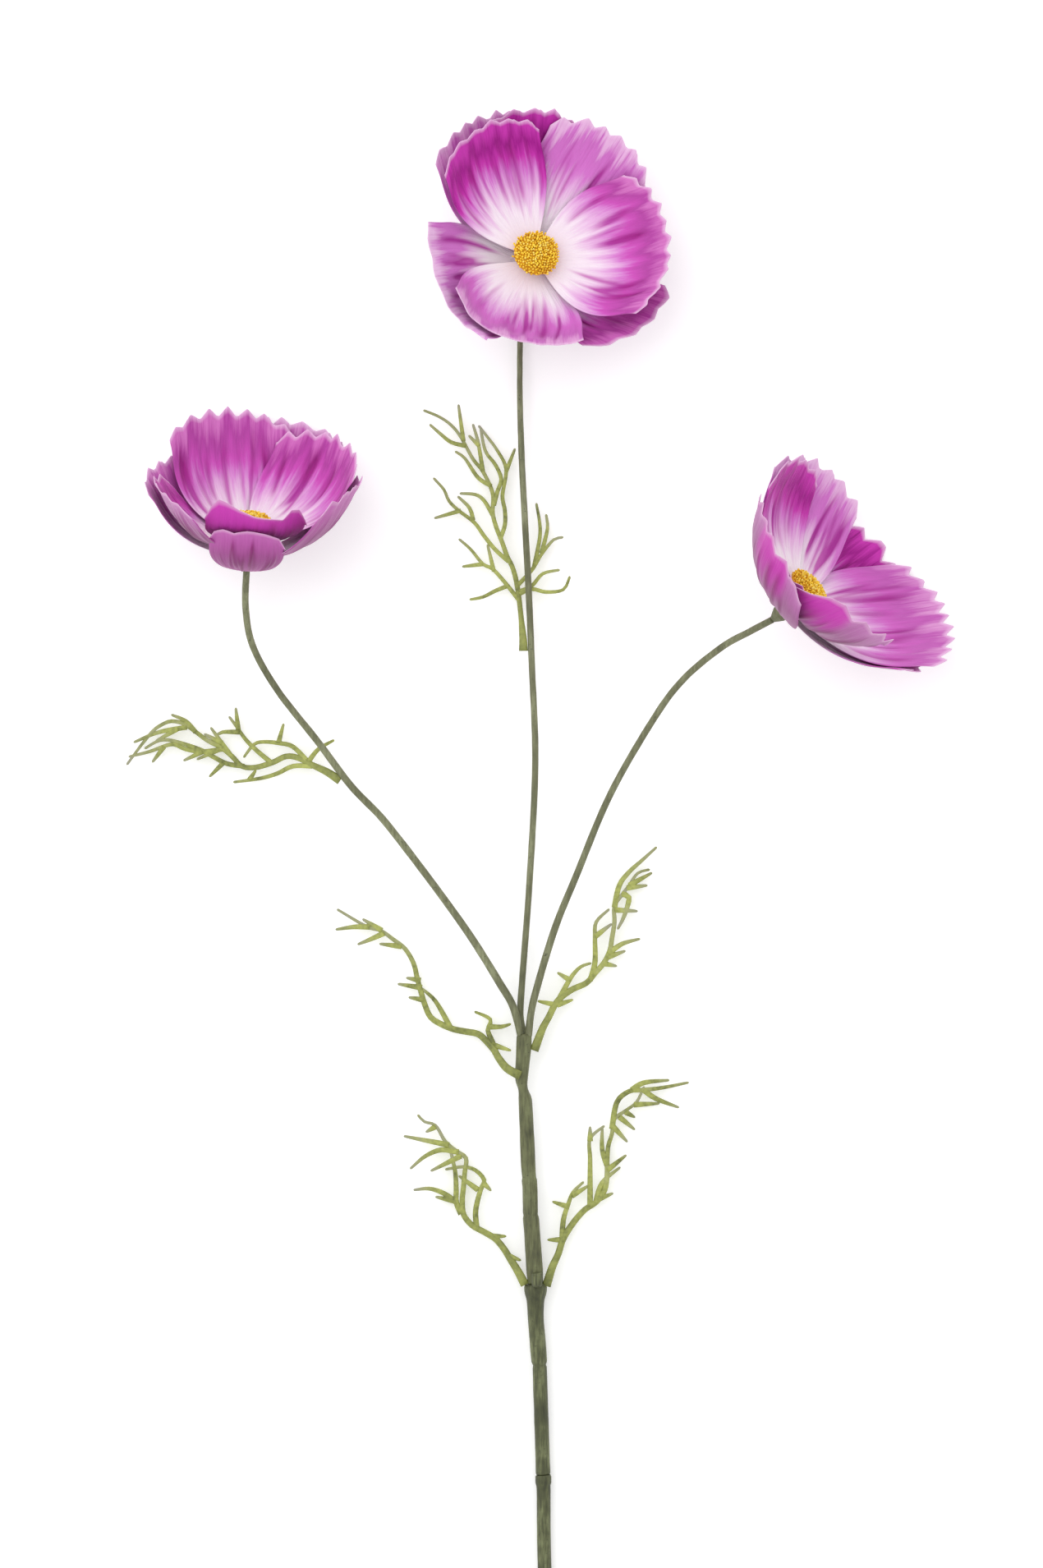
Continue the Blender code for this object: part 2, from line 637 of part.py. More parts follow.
def seat_on_origin():
    """Centre the whole spray on X and Y with its lowest point at Z zero."""
    corners = [vertex.co for item in bpy.data.objects for vertex in item.data.vertices]
    low = [min(corner[k] for corner in corners) for k in range(3)]
    high = [max(corner[k] for corner in corners) for k in range(3)]
    shift = Vector(((low[0] + high[0]) / 2, (low[1] + high[1]) / 2, low[2]))
    for item in bpy.data.objects:
        for vertex in item.data.vertices:
            vertex.co -= shift


clear_scene()
materials = {
    "petal": make_material("petal", (0.68, 0.22, 0.58), 0.7),
    "centre": make_material("flower_centre", (0.78, 0.48, 0.07), 0.85),
    "receptacle": make_material("receptacle", (0.30, 0.36, 0.18), 0.6),
    "stem": make_material("stem", (0.16, 0.21, 0.10), 0.55),
    "branch": make_material("branch", (0.18, 0.20, 0.13), 0.6),
    "leaf": make_material("leaf", (0.36, 0.42, 0.12), 0.6),
}
for head_name, head in HEADS.items():
    make_head(head_name, head, materials)
make_stem("stem_base", STEM_BASE, STEM_SIDES, 0, materials["stem"])
make_stem("main_stem", MAIN_STEM, STEM_SIDES, 0, materials["stem"])
make_stem("upper_stem", UPPER_STEM, STEM_SIDES, 0, materials["stem"])
make_stem("stem_nub", STEM_NUB, STEM_SIDES, 0, materials["stem"])
for branch_name, branch in BRANCHES.items():
    make_stem(branch_name, branch, BRANCH_SIDES, BRANCH_STEP, materials["branch"])
for leaf_name, leaf in LEAVES.items():
    make_leaf(leaf_name, leaf, materials["leaf"])
seat_on_origin()
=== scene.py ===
import math
import random

import bpy
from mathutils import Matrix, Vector, noise


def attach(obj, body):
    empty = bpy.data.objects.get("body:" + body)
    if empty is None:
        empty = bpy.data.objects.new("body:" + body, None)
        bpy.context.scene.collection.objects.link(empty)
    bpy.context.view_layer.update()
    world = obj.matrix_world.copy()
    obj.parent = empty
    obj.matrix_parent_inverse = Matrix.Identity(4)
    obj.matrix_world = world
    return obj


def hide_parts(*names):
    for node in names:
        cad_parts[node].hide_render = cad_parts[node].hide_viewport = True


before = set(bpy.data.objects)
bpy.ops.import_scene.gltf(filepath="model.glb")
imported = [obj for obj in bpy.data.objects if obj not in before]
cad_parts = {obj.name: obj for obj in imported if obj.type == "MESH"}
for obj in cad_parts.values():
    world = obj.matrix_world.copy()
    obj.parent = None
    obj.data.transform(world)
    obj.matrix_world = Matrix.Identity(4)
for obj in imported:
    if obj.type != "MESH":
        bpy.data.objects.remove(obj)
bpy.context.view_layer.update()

# All shapes below are laid out in millimetres from the spray's own zero point.
# The cut end of the stem in the CAD model says where that zero point is.
cutEndSpot = Vector((9.7, -57.0, 3.1))
cutEndDepth = 0.001  # metres from the lowest corner in which the end's own corners lie


def findZero():
    corners = [v.co.copy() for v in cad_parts["stem_base"].data.vertices]
    lowest = min(c.y for c in corners)
    ring = {tuple(round(n, 6) for n in c) for c in corners if c.y < lowest + cutEndDepth}
    middle = sum((Vector(c) for c in ring), Vector()) / len(ring)
    return middle - cutEndSpot / 1000


zeroPoint = findZero()


def place(point):
    return zeroPoint + Vector(point) / 1000


def mix(a, b, share):
    return a + (b - a) * share


def clamp(value):
    return min(1.0, max(0.0, value))


def soft(low, high, value):
    t = clamp((value - low) / (high - low))
    return t * t * (3 - 2 * t)


def tone(red, green, blue):
    # everyday 0 to 255 colour to the linear values that shaders use
    def one(c):
        c /= 255
        return c / 12.92 if c <= 0.04045 else ((c + 0.055) / 1.055) ** 2.4
    return (one(red), one(green), one(blue), 1.0)


def addPiece(name, points, faces, materials, uvs=None, marks=None):
    # marks: name -> one number per point, read by the materials
    mesh = bpy.data.meshes.new(name)
    mesh.from_pydata([place(p) for p in points], [], faces)
    for m in materials:
        mesh.materials.append(m)
    mesh.shade_smooth()
    if uvs:
        layer = mesh.uv_layers.new(name="UVMap")
        for loop in mesh.loops:
            layer.data[loop.index].uv = uvs[loop.vertex_index]
    for mark, values in (marks or {}).items():
        mesh.attributes.new(mark, "FLOAT", "POINT").data.foreach_set("value", values)
    piece = bpy.data.objects.new(name, mesh)
    bpy.context.scene.collection.objects.link(piece)
    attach(piece, "root")
    return piece


# helpers for building materials from nodes
def newMaterial(name):
    m = bpy.data.materials.new(name)
    m.use_nodes = True
    return m, m.node_tree, m.node_tree.nodes["Principled BSDF"]


def addNode(tree, kind, **values):
    n = tree.nodes.new(kind)
    for key, value in values.items():
        if key in n.inputs:
            n.inputs[key].default_value = value
        else:
            setattr(n, key, value)
    return n


def maths(tree, operation, a, b, clampIt=False):
    n = tree.nodes.new("ShaderNodeMath")
    n.operation = operation
    n.use_clamp = clampIt
    for socket, value in ((0, a), (1, b)):
        if isinstance(value, (int, float)):
            n.inputs[socket].default_value = value
        else:
            tree.links.new(value, n.inputs[socket])
    return n.outputs[0]


def above(tree, value, level, gain, clampIt=False):
    # how far a value stands above a level, times a gain
    return maths(tree, "MULTIPLY", maths(tree, "SUBTRACT", value, level), gain, clampIt)


def added(tree, first, firstShare, second, secondShare):
    return maths(tree, "ADD", maths(tree, "MULTIPLY", first, firstShare),
                 maths(tree, "MULTIPLY", second, secondShare))


def ramp(tree, factor, stops):
    n = tree.nodes.new("ShaderNodeValToRGB")
    n.color_ramp.elements[0].position = stops[0][0]
    n.color_ramp.elements[0].color = stops[0][1]
    n.color_ramp.elements[1].position = stops[-1][0]
    n.color_ramp.elements[1].color = stops[-1][1]
    for position, colour in stops[1:-1]:
        n.color_ramp.elements.new(position).color = colour
    tree.links.new(factor, n.inputs["Fac"])
    return n.outputs["Color"]


def blendColours(tree, factor, a, b, way="MIX"):
    n = tree.nodes.new("ShaderNodeMix")
    n.data_type = "RGBA"
    n.blend_type = way
    for socket, value in ((0, factor), (6, a), (7, b)):
        if isinstance(value, (int, float, tuple)):
            n.inputs[socket].default_value = value
        else:
            tree.links.new(value, n.inputs[socket])
    return n.outputs[2]


def noiseOf(tree, vector, scale, detail=4.0, roughness=0.55):
    n = addNode(tree, "ShaderNodeTexNoise", Scale=scale, Detail=detail, Roughness=roughness)
    tree.links.new(vector, n.inputs["Vector"])
    return n.outputs["Fac"]


def roughen(tree, shader, pattern, swing, least):
    rough = maths(tree, "ADD", maths(tree, "MULTIPLY", pattern, swing), least)
    tree.links.new(rough, shader.inputs["Roughness"])


def bump(tree, shader, height, strength, distance):
    n = addNode(tree, "ShaderNodeBump", Strength=strength, Distance=distance)
    tree.links.new(height, n.inputs["Height"])
    tree.links.new(n.outputs["Normal"], shader.inputs["Normal"])


def markOf(tree, name):
    return addNode(tree, "ShaderNodeAttribute", attribute_name=name).outputs["Fac"]


def objectSpot(tree):
    return addNode(tree, "ShaderNodeTexCoord").outputs["Object"]


# petalLook is shared by all petals; each flower head then lists its own eight.
petalLook = {
    "columns": 84,
    "rows": 40,
    "rowCrowding": 1.35,  # rows stand closer together towards the rim
    "thickness": 0.28,
    "baseRadius": 3.8,
    "baseShare": 0.13,
    "widest": 0.78,
    "step": 0.95,
    "lift": 14.0,
    "liftDrop": 2.7,
    "liftFade": 1.3,
    "curveSteps": 60,
    "curveSpan": 1.25,
    "cornerCut": 0.10,
    "cornerPower": 2.6,
    "toothDepth": 0.062,
    "toothPower": 9,
    "ribs": 6.5,
    "ribHeight": 0.22,
    "lip": 1.3,
    "lipFrom": 0.86,
    "lipTo": 1.02,
    # size and number of waves of each ruffle, both as ranges
    "ruffles": (((0.35, 0.6), (2.2, 3.6)), ((0.15, 0.28), (6.0, 9.0)), ((0.05, 0.12), (14.0, 20.0))),
    "rufflePower": 2.4,
}

flowerHeads = {
    "top_head": {
        "base": (0.6, 528.9, 15.0),
        "axis": (0.21, 0.30, 0.93),
        "petals": (
            {"azimuth": 95, "width": 40, "length": 62, "lean": (9, 60), "level": 1.9,
             "tint": 1.0, "teeth": 5},
            {"azimuth": 121, "width": 47, "length": 63, "lean": (11, 70), "level": 0.0,
             "tint": 1.0, "teeth": 6},
            {"azimuth": 253, "width": 60, "length": 48, "lean": (9, 62), "level": 0.95,
             "tint": 0.35, "teeth": 8, "corner": 0.0, "roll": 2.6},
            {"azimuth": 4, "width": 64, "length": 60, "lean": (10, 67), "level": 0.0,
             "tint": 0.7, "teeth": 9},
            {"azimuth": 60, "width": 46, "length": 63, "lean": (9, 64), "level": 0.95,
             "tint": 0.15, "teeth": 6},
            {"azimuth": 117, "width": 46, "length": 61, "lean": (8, 56), "level": 2.9,
             "tint": 0.35, "teeth": 7},
            {"azimuth": 329, "width": 37, "length": 50, "lean": (4, 42), "level": 3.7,
             "tint": 0.8, "teeth": 4, "skew": -0.16},
            {"azimuth": 208, "width": 58, "length": 45, "lean": (7, 52), "level": 1.9,
             "tint": 0.05, "teeth": 4, "corner": -0.24, "skew": -0.16},
        ),
    },
    "left_head": {
        "base": (-113.5, 408.5, 30.2),
        "axis": (0.07, 0.93, 0.36),
        "petals": (
            {"azimuth": 107, "width": 53, "length": 66, "lean": (16, 84), "level": 0.95,
             "tint": 0.7, "teeth": 7},
            {"azimuth": 40, "width": 56, "length": 62, "lean": (16, 84), "level": 0.0,
             "tint": 0.75, "teeth": 7},
            {"azimuth": 280, "width": 46, "length": 44, "lean": (16, 86), "level": 0.0,
             "tint": 0.9, "back": 1.0,
             "rim": ((-1, -0.1), (-0.85, -0.02), (-0.72, 0.05), (-0.55, 0.04), (-0.4, -0.06), (-0.15, -0.05),
                     (0.1, -0.03), (0.35, 0.02), (0.6, 0.1), (0.72, 0.13), (0.85, 0.08), (1, -0.04))},
            {"azimuth": 195, "width": 45, "length": 48, "lean": (15, 76), "level": 1.5,
             "tint": 0.9, "teeth": 5},
            {"azimuth": 68, "width": 46, "length": 65, "lean": (13, 81), "level": 1.9,
             "tint": 0.55, "teeth": 5},
            {"azimuth": 347, "width": 43, "length": 56, "lean": (14, 80), "level": 2.5,
             "tint": 0.6, "teeth": 5, "back": 0.3},
            {"azimuth": 271, "width": 28, "length": 33, "lean": (8, 88), "level": 4.1,
             "tint": 0.4, "back": 0.3,
             "rim": ((-1, -0.1), (-0.8, 0.0), (-0.4, 0.02), (0.0, 0.03), (0.3, 0.0), (0.6, 0.04),
                     (0.85, 0.03), (1, -0.06))},
            {"azimuth": 148, "width": 46, "length": 51, "lean": (13, 72), "level": 2.9,
             "tint": 0.6, "teeth": 6},
        ),
    },
    "right_head": {
        "base": (102.5, 386.8, 43.2),
        "axis": (0.70, 0.58, 0.42),
        "petals": (
            {"azimuth": 131, "width": 50, "length": 64, "lean": (13, 68), "level": 1.1,
             "tint": 0.1, "teeth": 6},
            {"azimuth": 47, "width": 58, "length": 70, "lean": (12, 54), "level": 1.9,
             "tint": 0.45, "teeth": 9},
            {"azimuth": 266, "width": 42, "length": 37, "lean": (13, 82), "level": 0.0,
             "tint": 1.0, "teeth": 5},
            {"azimuth": 229, "width": 60, "length": 52, "lean": (12, 73), "level": 2.1,
             "tint": 0.8, "teeth": 6, "patch": (-0.25, 0.85, 0.42)},
            {"azimuth": 85, "width": 32, "length": 63, "lean": (10, 51), "level": 3.75,
             "tint": 1.0,
             "rim": ((-1, -0.08), (-0.8, 0.02), (-0.6, 0.04), (-0.36, -0.03), (-0.1, 0.04), (0.1, 0.04),
                     (0.3, -0.03), (0.55, 0.05), (0.8, 0.05), (1, -0.04))},
            {"azimuth": 31, "width": 50, "length": 58, "lean": (10, 49), "level": 2.8,
             "tint": 0.9, "teeth": 7, "roll": 5.0},
            {"azimuth": 308, "width": 57, "length": 53, "lean": (14, 82), "level": 0.95,
             "tint": 0.8, "patch": (0.6, 0.8, 0.5),
             "rim": ((-1, -0.05), (-0.8, 0.05), (-0.62, -0.02), (-0.45, 0.06), (-0.25, 0.0), (0.0, 0.06),
                     (0.15, 0.0), (0.4, 0.08), (0.6, 0.06), (0.8, -0.02), (1, -0.06))},
            {"azimuth": 164, "width": 44, "length": 62, "lean": (14, 80), "level": 0.0,
             "tint": 1.0, "teeth": 5},
        ),
    },
}

petalColours = {
    "heart": tone(244, 232, 242),
    "blush": tone(232, 190, 228),
    "orchid": tone(212, 122, 206),
    "magenta": tone(198, 48, 174),
    "deep": tone(160, 4, 138),
    "rim": tone(238, 200, 232),
    "backBase": tone(168, 116, 150),
    "backMiddle": tone(146, 72, 130),
    "backEnd": tone(184, 104, 172),
    "backRim": tone(214, 164, 202),
    "backDark": tone(150, 8, 132),
}

# a stretch is how closely a pattern is packed across and along a petal
petalPaint = {
    "streakStretch": (9.0, 0.9),
    "frontVeins": (46.0, 3.0),
    "backVeins": (34.0, 2.2),
    "streakWander": 0.62,
    "rimFrom": 0.968,
    "rimSharpness": 34.0,
    # how strongly the crease depth darkens the petal colour, as painted shade in the creases
    "frontCreaseShading": 1.5,
    "backCreaseShading": 1.4,
    # veins are darkened towards this colour, and so is the painted shade in the creases
    "veinTintAndCreaseShade": tone(206, 112, 192),
    # painted shade in the creases of the petal backs
    "backCreaseShadeColour": tone(206, 132, 190),
    "relief": 0.0006,
    "sheen": 0.25,
    "shine": 0.25,
}


def acrossAndAlong(tree):
    split = addNode(tree, "ShaderNodeSeparateXYZ")
    tree.links.new(addNode(tree, "ShaderNodeUVMap", uv_map="UVMap").outputs["UV"], split.inputs["Vector"])
    return split.outputs["X"], split.outputs["Y"]


def drawnOut(tree, across, along, stretch, scale, detail, roughness):
    # noise drawn out along the petal, and different on each petal
    spot = addNode(tree, "ShaderNodeCombineXYZ")
    tree.links.new(maths(tree, "MULTIPLY", across, stretch[0]), spot.inputs["X"])
    tree.links.new(maths(tree, "MULTIPLY", along, stretch[1]), spot.inputs["Y"])
    tree.links.new(markOf(tree, "seed"), spot.inputs["Z"])
    return noiseOf(tree, spot.outputs["Vector"], scale, detail, roughness)


def addRim(tree, along, body, strength, colour):
    edge = above(tree, along, petalPaint["rimFrom"], petalPaint["rimSharpness"], True)
    return blendColours(tree, maths(tree, "MULTIPLY", edge, strength), body, colour)


def petalFront():
    m, tree, shader = newMaterial("petalFront")
    c, p = petalColours, petalPaint
    across, along = acrossAndAlong(tree)
    streaks = drawnOut(tree, across, along, p["streakStretch"], 1.6, 5.0, 0.6)
    veins = drawnOut(tree, across, along, p["frontVeins"], 1.5, 3.0, 0.5)
    wandering = maths(tree, "ADD", along, above(tree, streaks, 0.5, p["streakWander"]))
    travel = maths(tree, "ADD", wandering, above(tree, veins, 0.5, 0.16), True)
    pale = ramp(tree, travel, ((0.0, c["heart"]), (0.30, c["heart"]), (0.48, c["blush"]),
                               (0.66, c["orchid"]), (0.86, c["orchid"]), (1.0, c["blush"])))
    rich = ramp(tree, travel, ((0.0, c["heart"]), (0.26, c["heart"]), (0.42, c["blush"]), (0.58, c["orchid"]),
                               (0.70, c["magenta"]), (0.84, c["deep"]), (1.0, c["magenta"])))
    body = blendColours(tree, markOf(tree, "tint"), pale, rich)
    withRim = addRim(tree, along, body, 0.75, c["rim"])
    darker = above(tree, veins, 0.48, -2.4, True)
    veined = blendColours(tree, maths(tree, "MULTIPLY", darker, maths(tree, "MULTIPLY", along, 0.55)),
                          withRim, p["veinTintAndCreaseShade"], "MULTIPLY")
    # painted shade: the petal front is darkened along its creases, by crease depth
    creaseShadeShare = maths(tree, "MULTIPLY", markOf(tree, "creaseShade"), p["frontCreaseShading"], True)
    withCreaseShade = blendColours(tree, creaseShadeShare, veined, p["veinTintAndCreaseShade"], "MULTIPLY")
    tree.links.new(withCreaseShade, shader.inputs["Base Color"])
    grain = noiseOf(tree, objectSpot(tree), 1400.0, 2.0)
    roughen(tree, shader, grain, 0.18, 0.52)
    bump(tree, shader, maths(tree, "ADD", veins, maths(tree, "MULTIPLY", grain, 0.12)), 0.5, p["relief"])
    shader.inputs["Sheen Weight"].default_value = p["sheen"]
    shader.inputs["Sheen Roughness"].default_value = 0.4
    shader.inputs["Specular IOR Level"].default_value = p["shine"]
    return m


def petalBack():
    m, tree, shader = newMaterial("petalBack")
    c, p = petalColours, petalPaint
    across, along = acrossAndAlong(tree)
    veins = drawnOut(tree, across, along, p["backVeins"], 1.4, 4.0, 0.6)
    travel = maths(tree, "ADD", along, above(tree, veins, 0.5, 0.22), True)
    body = ramp(tree, travel, ((0.0, c["backBase"]), (0.35, c["backMiddle"]), (0.7, c["backMiddle"]),
                               (1.0, c["backEnd"])))
    dark = ramp(tree, travel, ((0.0, c["orchid"]), (0.25, c["magenta"]), (0.55, c["backDark"]),
                               (1.0, c["magenta"])))
    rimmed = addRim(tree, along, blendColours(tree, markOf(tree, "back"), body, dark), 0.7, c["backRim"])
    # painted shade: the petal back is darkened along its creases, by crease depth
    creaseShadeShare = maths(tree, "MULTIPLY", markOf(tree, "creaseShade"), p["backCreaseShading"], True)
    coloured = blendColours(tree, creaseShadeShare, rimmed, p["backCreaseShadeColour"], "MULTIPLY")
    tree.links.new(coloured, shader.inputs["Base Color"])
    roughen(tree, shader, veins, 0.2, 0.55)
    bump(tree, shader, veins, 0.5, p["relief"])
    shader.inputs["Sheen Weight"].default_value = p["sheen"]
    shader.inputs["Specular IOR Level"].default_value = p["shine"]
    return m


def headFrame(head):
    axis = Vector(head["axis"]).normalized()
    if abs(axis.z) > 0.8:  # a head that looks nearly straight up
        across = (Vector((1, 0, 0)) - axis * axis.x).normalized()
    else:
        across = axis.cross(Vector((0, 0, 1))).normalized()
    return Vector(head["base"]), across, axis.cross(across), axis


def headPoint(place3, radius, angle, height):
    base, across, upright, axis = place3
    return (base + across * (radius * math.cos(angle)) + upright * (radius * math.sin(angle))
            + axis * height)


def petalCurve(petal):
    # the line up the middle of a petal: reach, radius, height, slope
    steps, span = petalLook["curveSteps"], petalLook["curveSpan"]
    first, last = petal["lean"]
    radius, height = petalLook["baseRadius"], 0.0
    curve = [(0.0, radius, height, math.radians(first))]
    for k in range(steps):
        slope = math.radians(mix(first, last, span * (k + 0.5) / steps))
        radius += math.cos(slope) * petal["length"] * span / steps
        height += math.sin(slope) * petal["length"] * span / steps
        end = span * (k + 1) / steps
        curve.append((end, radius, height, math.radians(mix(first, last, end))))
    return curve


def readCurve(curve, reach):
    spot = clamp(reach / curve[-1][0]) * (len(curve) - 1)
    k = min(int(spot), len(curve) - 2)
    return [mix(curve[k][n], curve[k + 1][n], spot - k) for n in (1, 2, 3)]


def givenEdge(rim):
    # a rim whose high and low points are listed, as shares of the petal's length
    def edge(across):
        for (a, low), (b, high) in zip(rim, rim[1:]):
            if across <= b:
                return mix(low, high, clamp((across - a) / (b - a)))
        return 0.0
    return edge


def toothEdge(count, chance):
    # uneven pointed teeth, each with a smaller one on its shoulder
    teeth = []
    for k in range(count):
        middle = -1 + 2 * (k + 0.5) / count + chance.uniform(-0.22, 0.22) / count
        teeth.append((middle, chance.uniform(0.55, 1.0), chance.uniform(0.8, 1.1) / count))
        teeth.append((middle + chance.uniform(0.35, 0.6) / count, chance.uniform(0.2, 0.55), 0.45 / count))

    def edge(across):
        highest = 0.0
        for middle, size, reach in teeth:
            off = abs(across - middle) / reach
            if off < 1:
                highest = max(highest, size * (1 - off ** 1.05))
        return highest * petalLook["toothDepth"]
    return edge


# sharp pressed folds that run up each petal; every value but the first and the last two is a range
creaseLook = {
    "count": 11,
    "middle": (-0.9, 0.9),
    "slant": (-0.25, 0.25),
    "depth": (0.3, 0.7),
    "width": (0.022, 0.055),
    "start": (0.15, 0.4),
    "end": (0.75, 1.0),
    "fade": 0.2,
    "height": 0.8,
}


def makeCreases(chance):
    parts = ("middle", "slant", "depth", "width", "start", "end")
    return [[chance.uniform(*creaseLook[part]) for part in parts] for _ in range(creaseLook["count"])]


def creaseAt(creases, across, along):
    total, fade = 0.0, creaseLook["fade"]
    for middle, slant, depth, width, start, end in creases:
        off = (across - middle - slant * (along - 0.6)) / width
        shown = soft(start, start + fade, along) * (1 - soft(end - fade, end, along))
        total += depth * math.exp(-off * off) * shown
    return total


def makeRuffles(chance):
    return [(chance.uniform(*size), chance.uniform(*waves), chance.uniform(0, 6.28))
            for size, waves in petalLook["ruffles"]]


def petalSpot(petal, curve, edge, ruffles, creases, across, along):
    look = petalLook
    corner = 1 - petal.get("corner", look["cornerCut"]) * abs(across) ** look["cornerPower"]
    corner += petal.get("skew", 0.0) * across
    reach = along * corner + edge(across) * along ** look["toothPower"]
    radius, height, slope = readCurve(curve, reach)
    rise = math.sin(math.pi / 2 * clamp(along / look["widest"]))
    half = petal["width"] / 2 * mix(look["baseShare"], 1.0, rise)
    outward = petal["level"] * look["step"]
    for size, waves, phase in ruffles:
        outward += size * math.sin(across * waves + phase) * along ** look["rufflePower"]
    ribs = 1 - abs((across * look["ribs"]) % 1 * 2 - 1)
    outward -= look["ribHeight"] * ribs ** 3 * math.sin(math.pi * clamp(along * 1.02))
    outward += creaseAt(creases, across, along) * creaseLook["height"]
    outward += look["lip"] * soft(look["lipFrom"], look["lipTo"], along) ** 2
    roll = petal.get("roll", 0.0)  # one side edge turned in; its sign says which
    outward -= abs(roll) * soft(0.5, 1.0, math.copysign(1, roll) * across) * along
    lift = (look["lift"] - look["liftDrop"] * petal["level"]) * (1 - along) ** look["liftFade"]
    angle = math.radians(petal["azimuth"]) - across * half / radius
    return radius + outward * math.sin(slope), angle, height - outward * math.cos(slope) + lift


def paintPatch(patch, uvs):
    # part of the back where the dark front colour comes round
    middle, high, size = patch
    shares = []
    for u, v in uvs:
        far = math.hypot((2 * u - 1 - middle) / size, (v - high) / (size * 0.9))
        shares.append(1 - soft(0.75, 1.15, far))
    return shares


def makePetal(name, place3, petal, materials, chance):
    curve = petalCurve(petal)
    edge = givenEdge(petal["rim"]) if "rim" in petal else toothEdge(petal["teeth"], chance)
    ruffles = makeRuffles(chance)
    creases = makeCreases(chance)
    columns, rows = petalLook["columns"], petalLook["rows"]
    points, uvs, creaseShades, faces = [], [], [], []
    for row in range(rows + 1):
        along = 1 - (1 - row / rows) ** petalLook["rowCrowding"]
        for column in range(columns + 1):
            across = 2 * column / columns - 1
            points.append(headPoint(place3, *petalSpot(petal, curve, edge, ruffles, creases, across, along)))
            # painted shade: the crease depth at each point is kept to darken the petal colour there
            creaseShades.append(creaseAt(creases, across, along))
            uvs.append((column / columns, along))
    wide = columns + 1
    for row in range(rows):
        for column in range(columns):
            k = row * wide + column
            faces.append((k, k + 1, k + wide + 1, k + wide))
    marks = {"tint": petal["tint"], "seed": chance.uniform(0, 40), "back": petal.get("back", 0.0)}
    marks = {mark: [value] * len(points) for mark, value in marks.items()}
    marks["creaseShade"] = creaseShades
    if "patch" in petal:
        marks["back"] = paintPatch(petal["patch"], uvs)
    piece = addPiece(name + "_surface", points, faces, materials, uvs, marks)
    shell = piece.modifiers.new("thickness", "SOLIDIFY")
    shell.thickness = petalLook["thickness"] / 1000
    shell.offset = -1
    shell.material_offset = 1
    shell.material_offset_rim = 0
    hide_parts(name)


centreLook = {
    "florets": 300,
    "radius": 9.0,
    "base": 15.2,
    "dome": 4.6,
    "rings": 7,
    "sides": 32,
    "floretRadius": 0.44,
    "floretLength": 2.1,
    "floretSides": 6,
    # share of the length and of the radius at each ring of a floret
    "floretShape": ((0.0, 0.8), (0.55, 0.75), (0.8, 1.05), (0.95, 0.8)),
    "turn": 2.39996,  # angle from one floret to the next, as in a sunflower
    "darkOnes": 0.12,  # share of the florets that are brown
    "gold": tone(255, 220, 66),
    "pale": tone(255, 238, 132),
    "amber": tone(246, 198, 46),
    "brown": tone(212, 152, 44),
}


def centreMaterial():
    m, tree, shader = newMaterial("discFlorets")
    c = centreLook
    grain = noiseOf(tree, objectSpot(tree), 1600.0, 3.0)
    mixed = maths(tree, "ADD", markOf(tree, "shade"), above(tree, grain, 0.5, 0.5), True)
    colour = ramp(tree, mixed, ((0.0, c["brown"]), (0.22, c["amber"]), (0.55, c["gold"]), (1.0, c["pale"])))
    tree.links.new(colour, shader.inputs["Base Color"])
    shader.inputs["Roughness"].default_value = 0.8
    shader.inputs["Specular IOR Level"].default_value = 0.3
    bump(tree, shader, grain, 0.6, 0.0004)
    return m


def domeHeight(r):
    c = centreLook
    return c["base"] + c["dome"] * math.sqrt(max(0.0, 1 - (r / (c["radius"] + 0.6)) ** 2))


def addDome(place3, points, faces, shades):
    # the closed dome that the florets stand on
    c = centreLook
    rings, sides = c["rings"], c["sides"]
    turns = [2 * math.pi * side / sides for side in range(sides)]
    for ring in range(rings + 1):
        r = c["radius"] * (1 - ring / rings)
        points += [headPoint(place3, max(r, 0.05), turn, domeHeight(r) - 0.3) for turn in turns]
        shades += [0.15] * sides
    for ring in range(rings):
        for side in range(sides):
            nextSide = (side + 1) % sides
            faces.append((ring * sides + side, ring * sides + nextSide,
                          (ring + 1) * sides + nextSide, (ring + 1) * sides + side))
    skirt = len(points)
    points += [headPoint(place3, c["radius"] * 0.86, turn, c["base"] - 0.7) for turn in turns]
    shades += [0.1] * sides
    for side in range(sides):
        nextSide = (side + 1) % sides
        faces.append((skirt + side, skirt + nextSide, nextSide, side))
    faces.append(tuple(reversed(range(skirt, skirt + sides))))


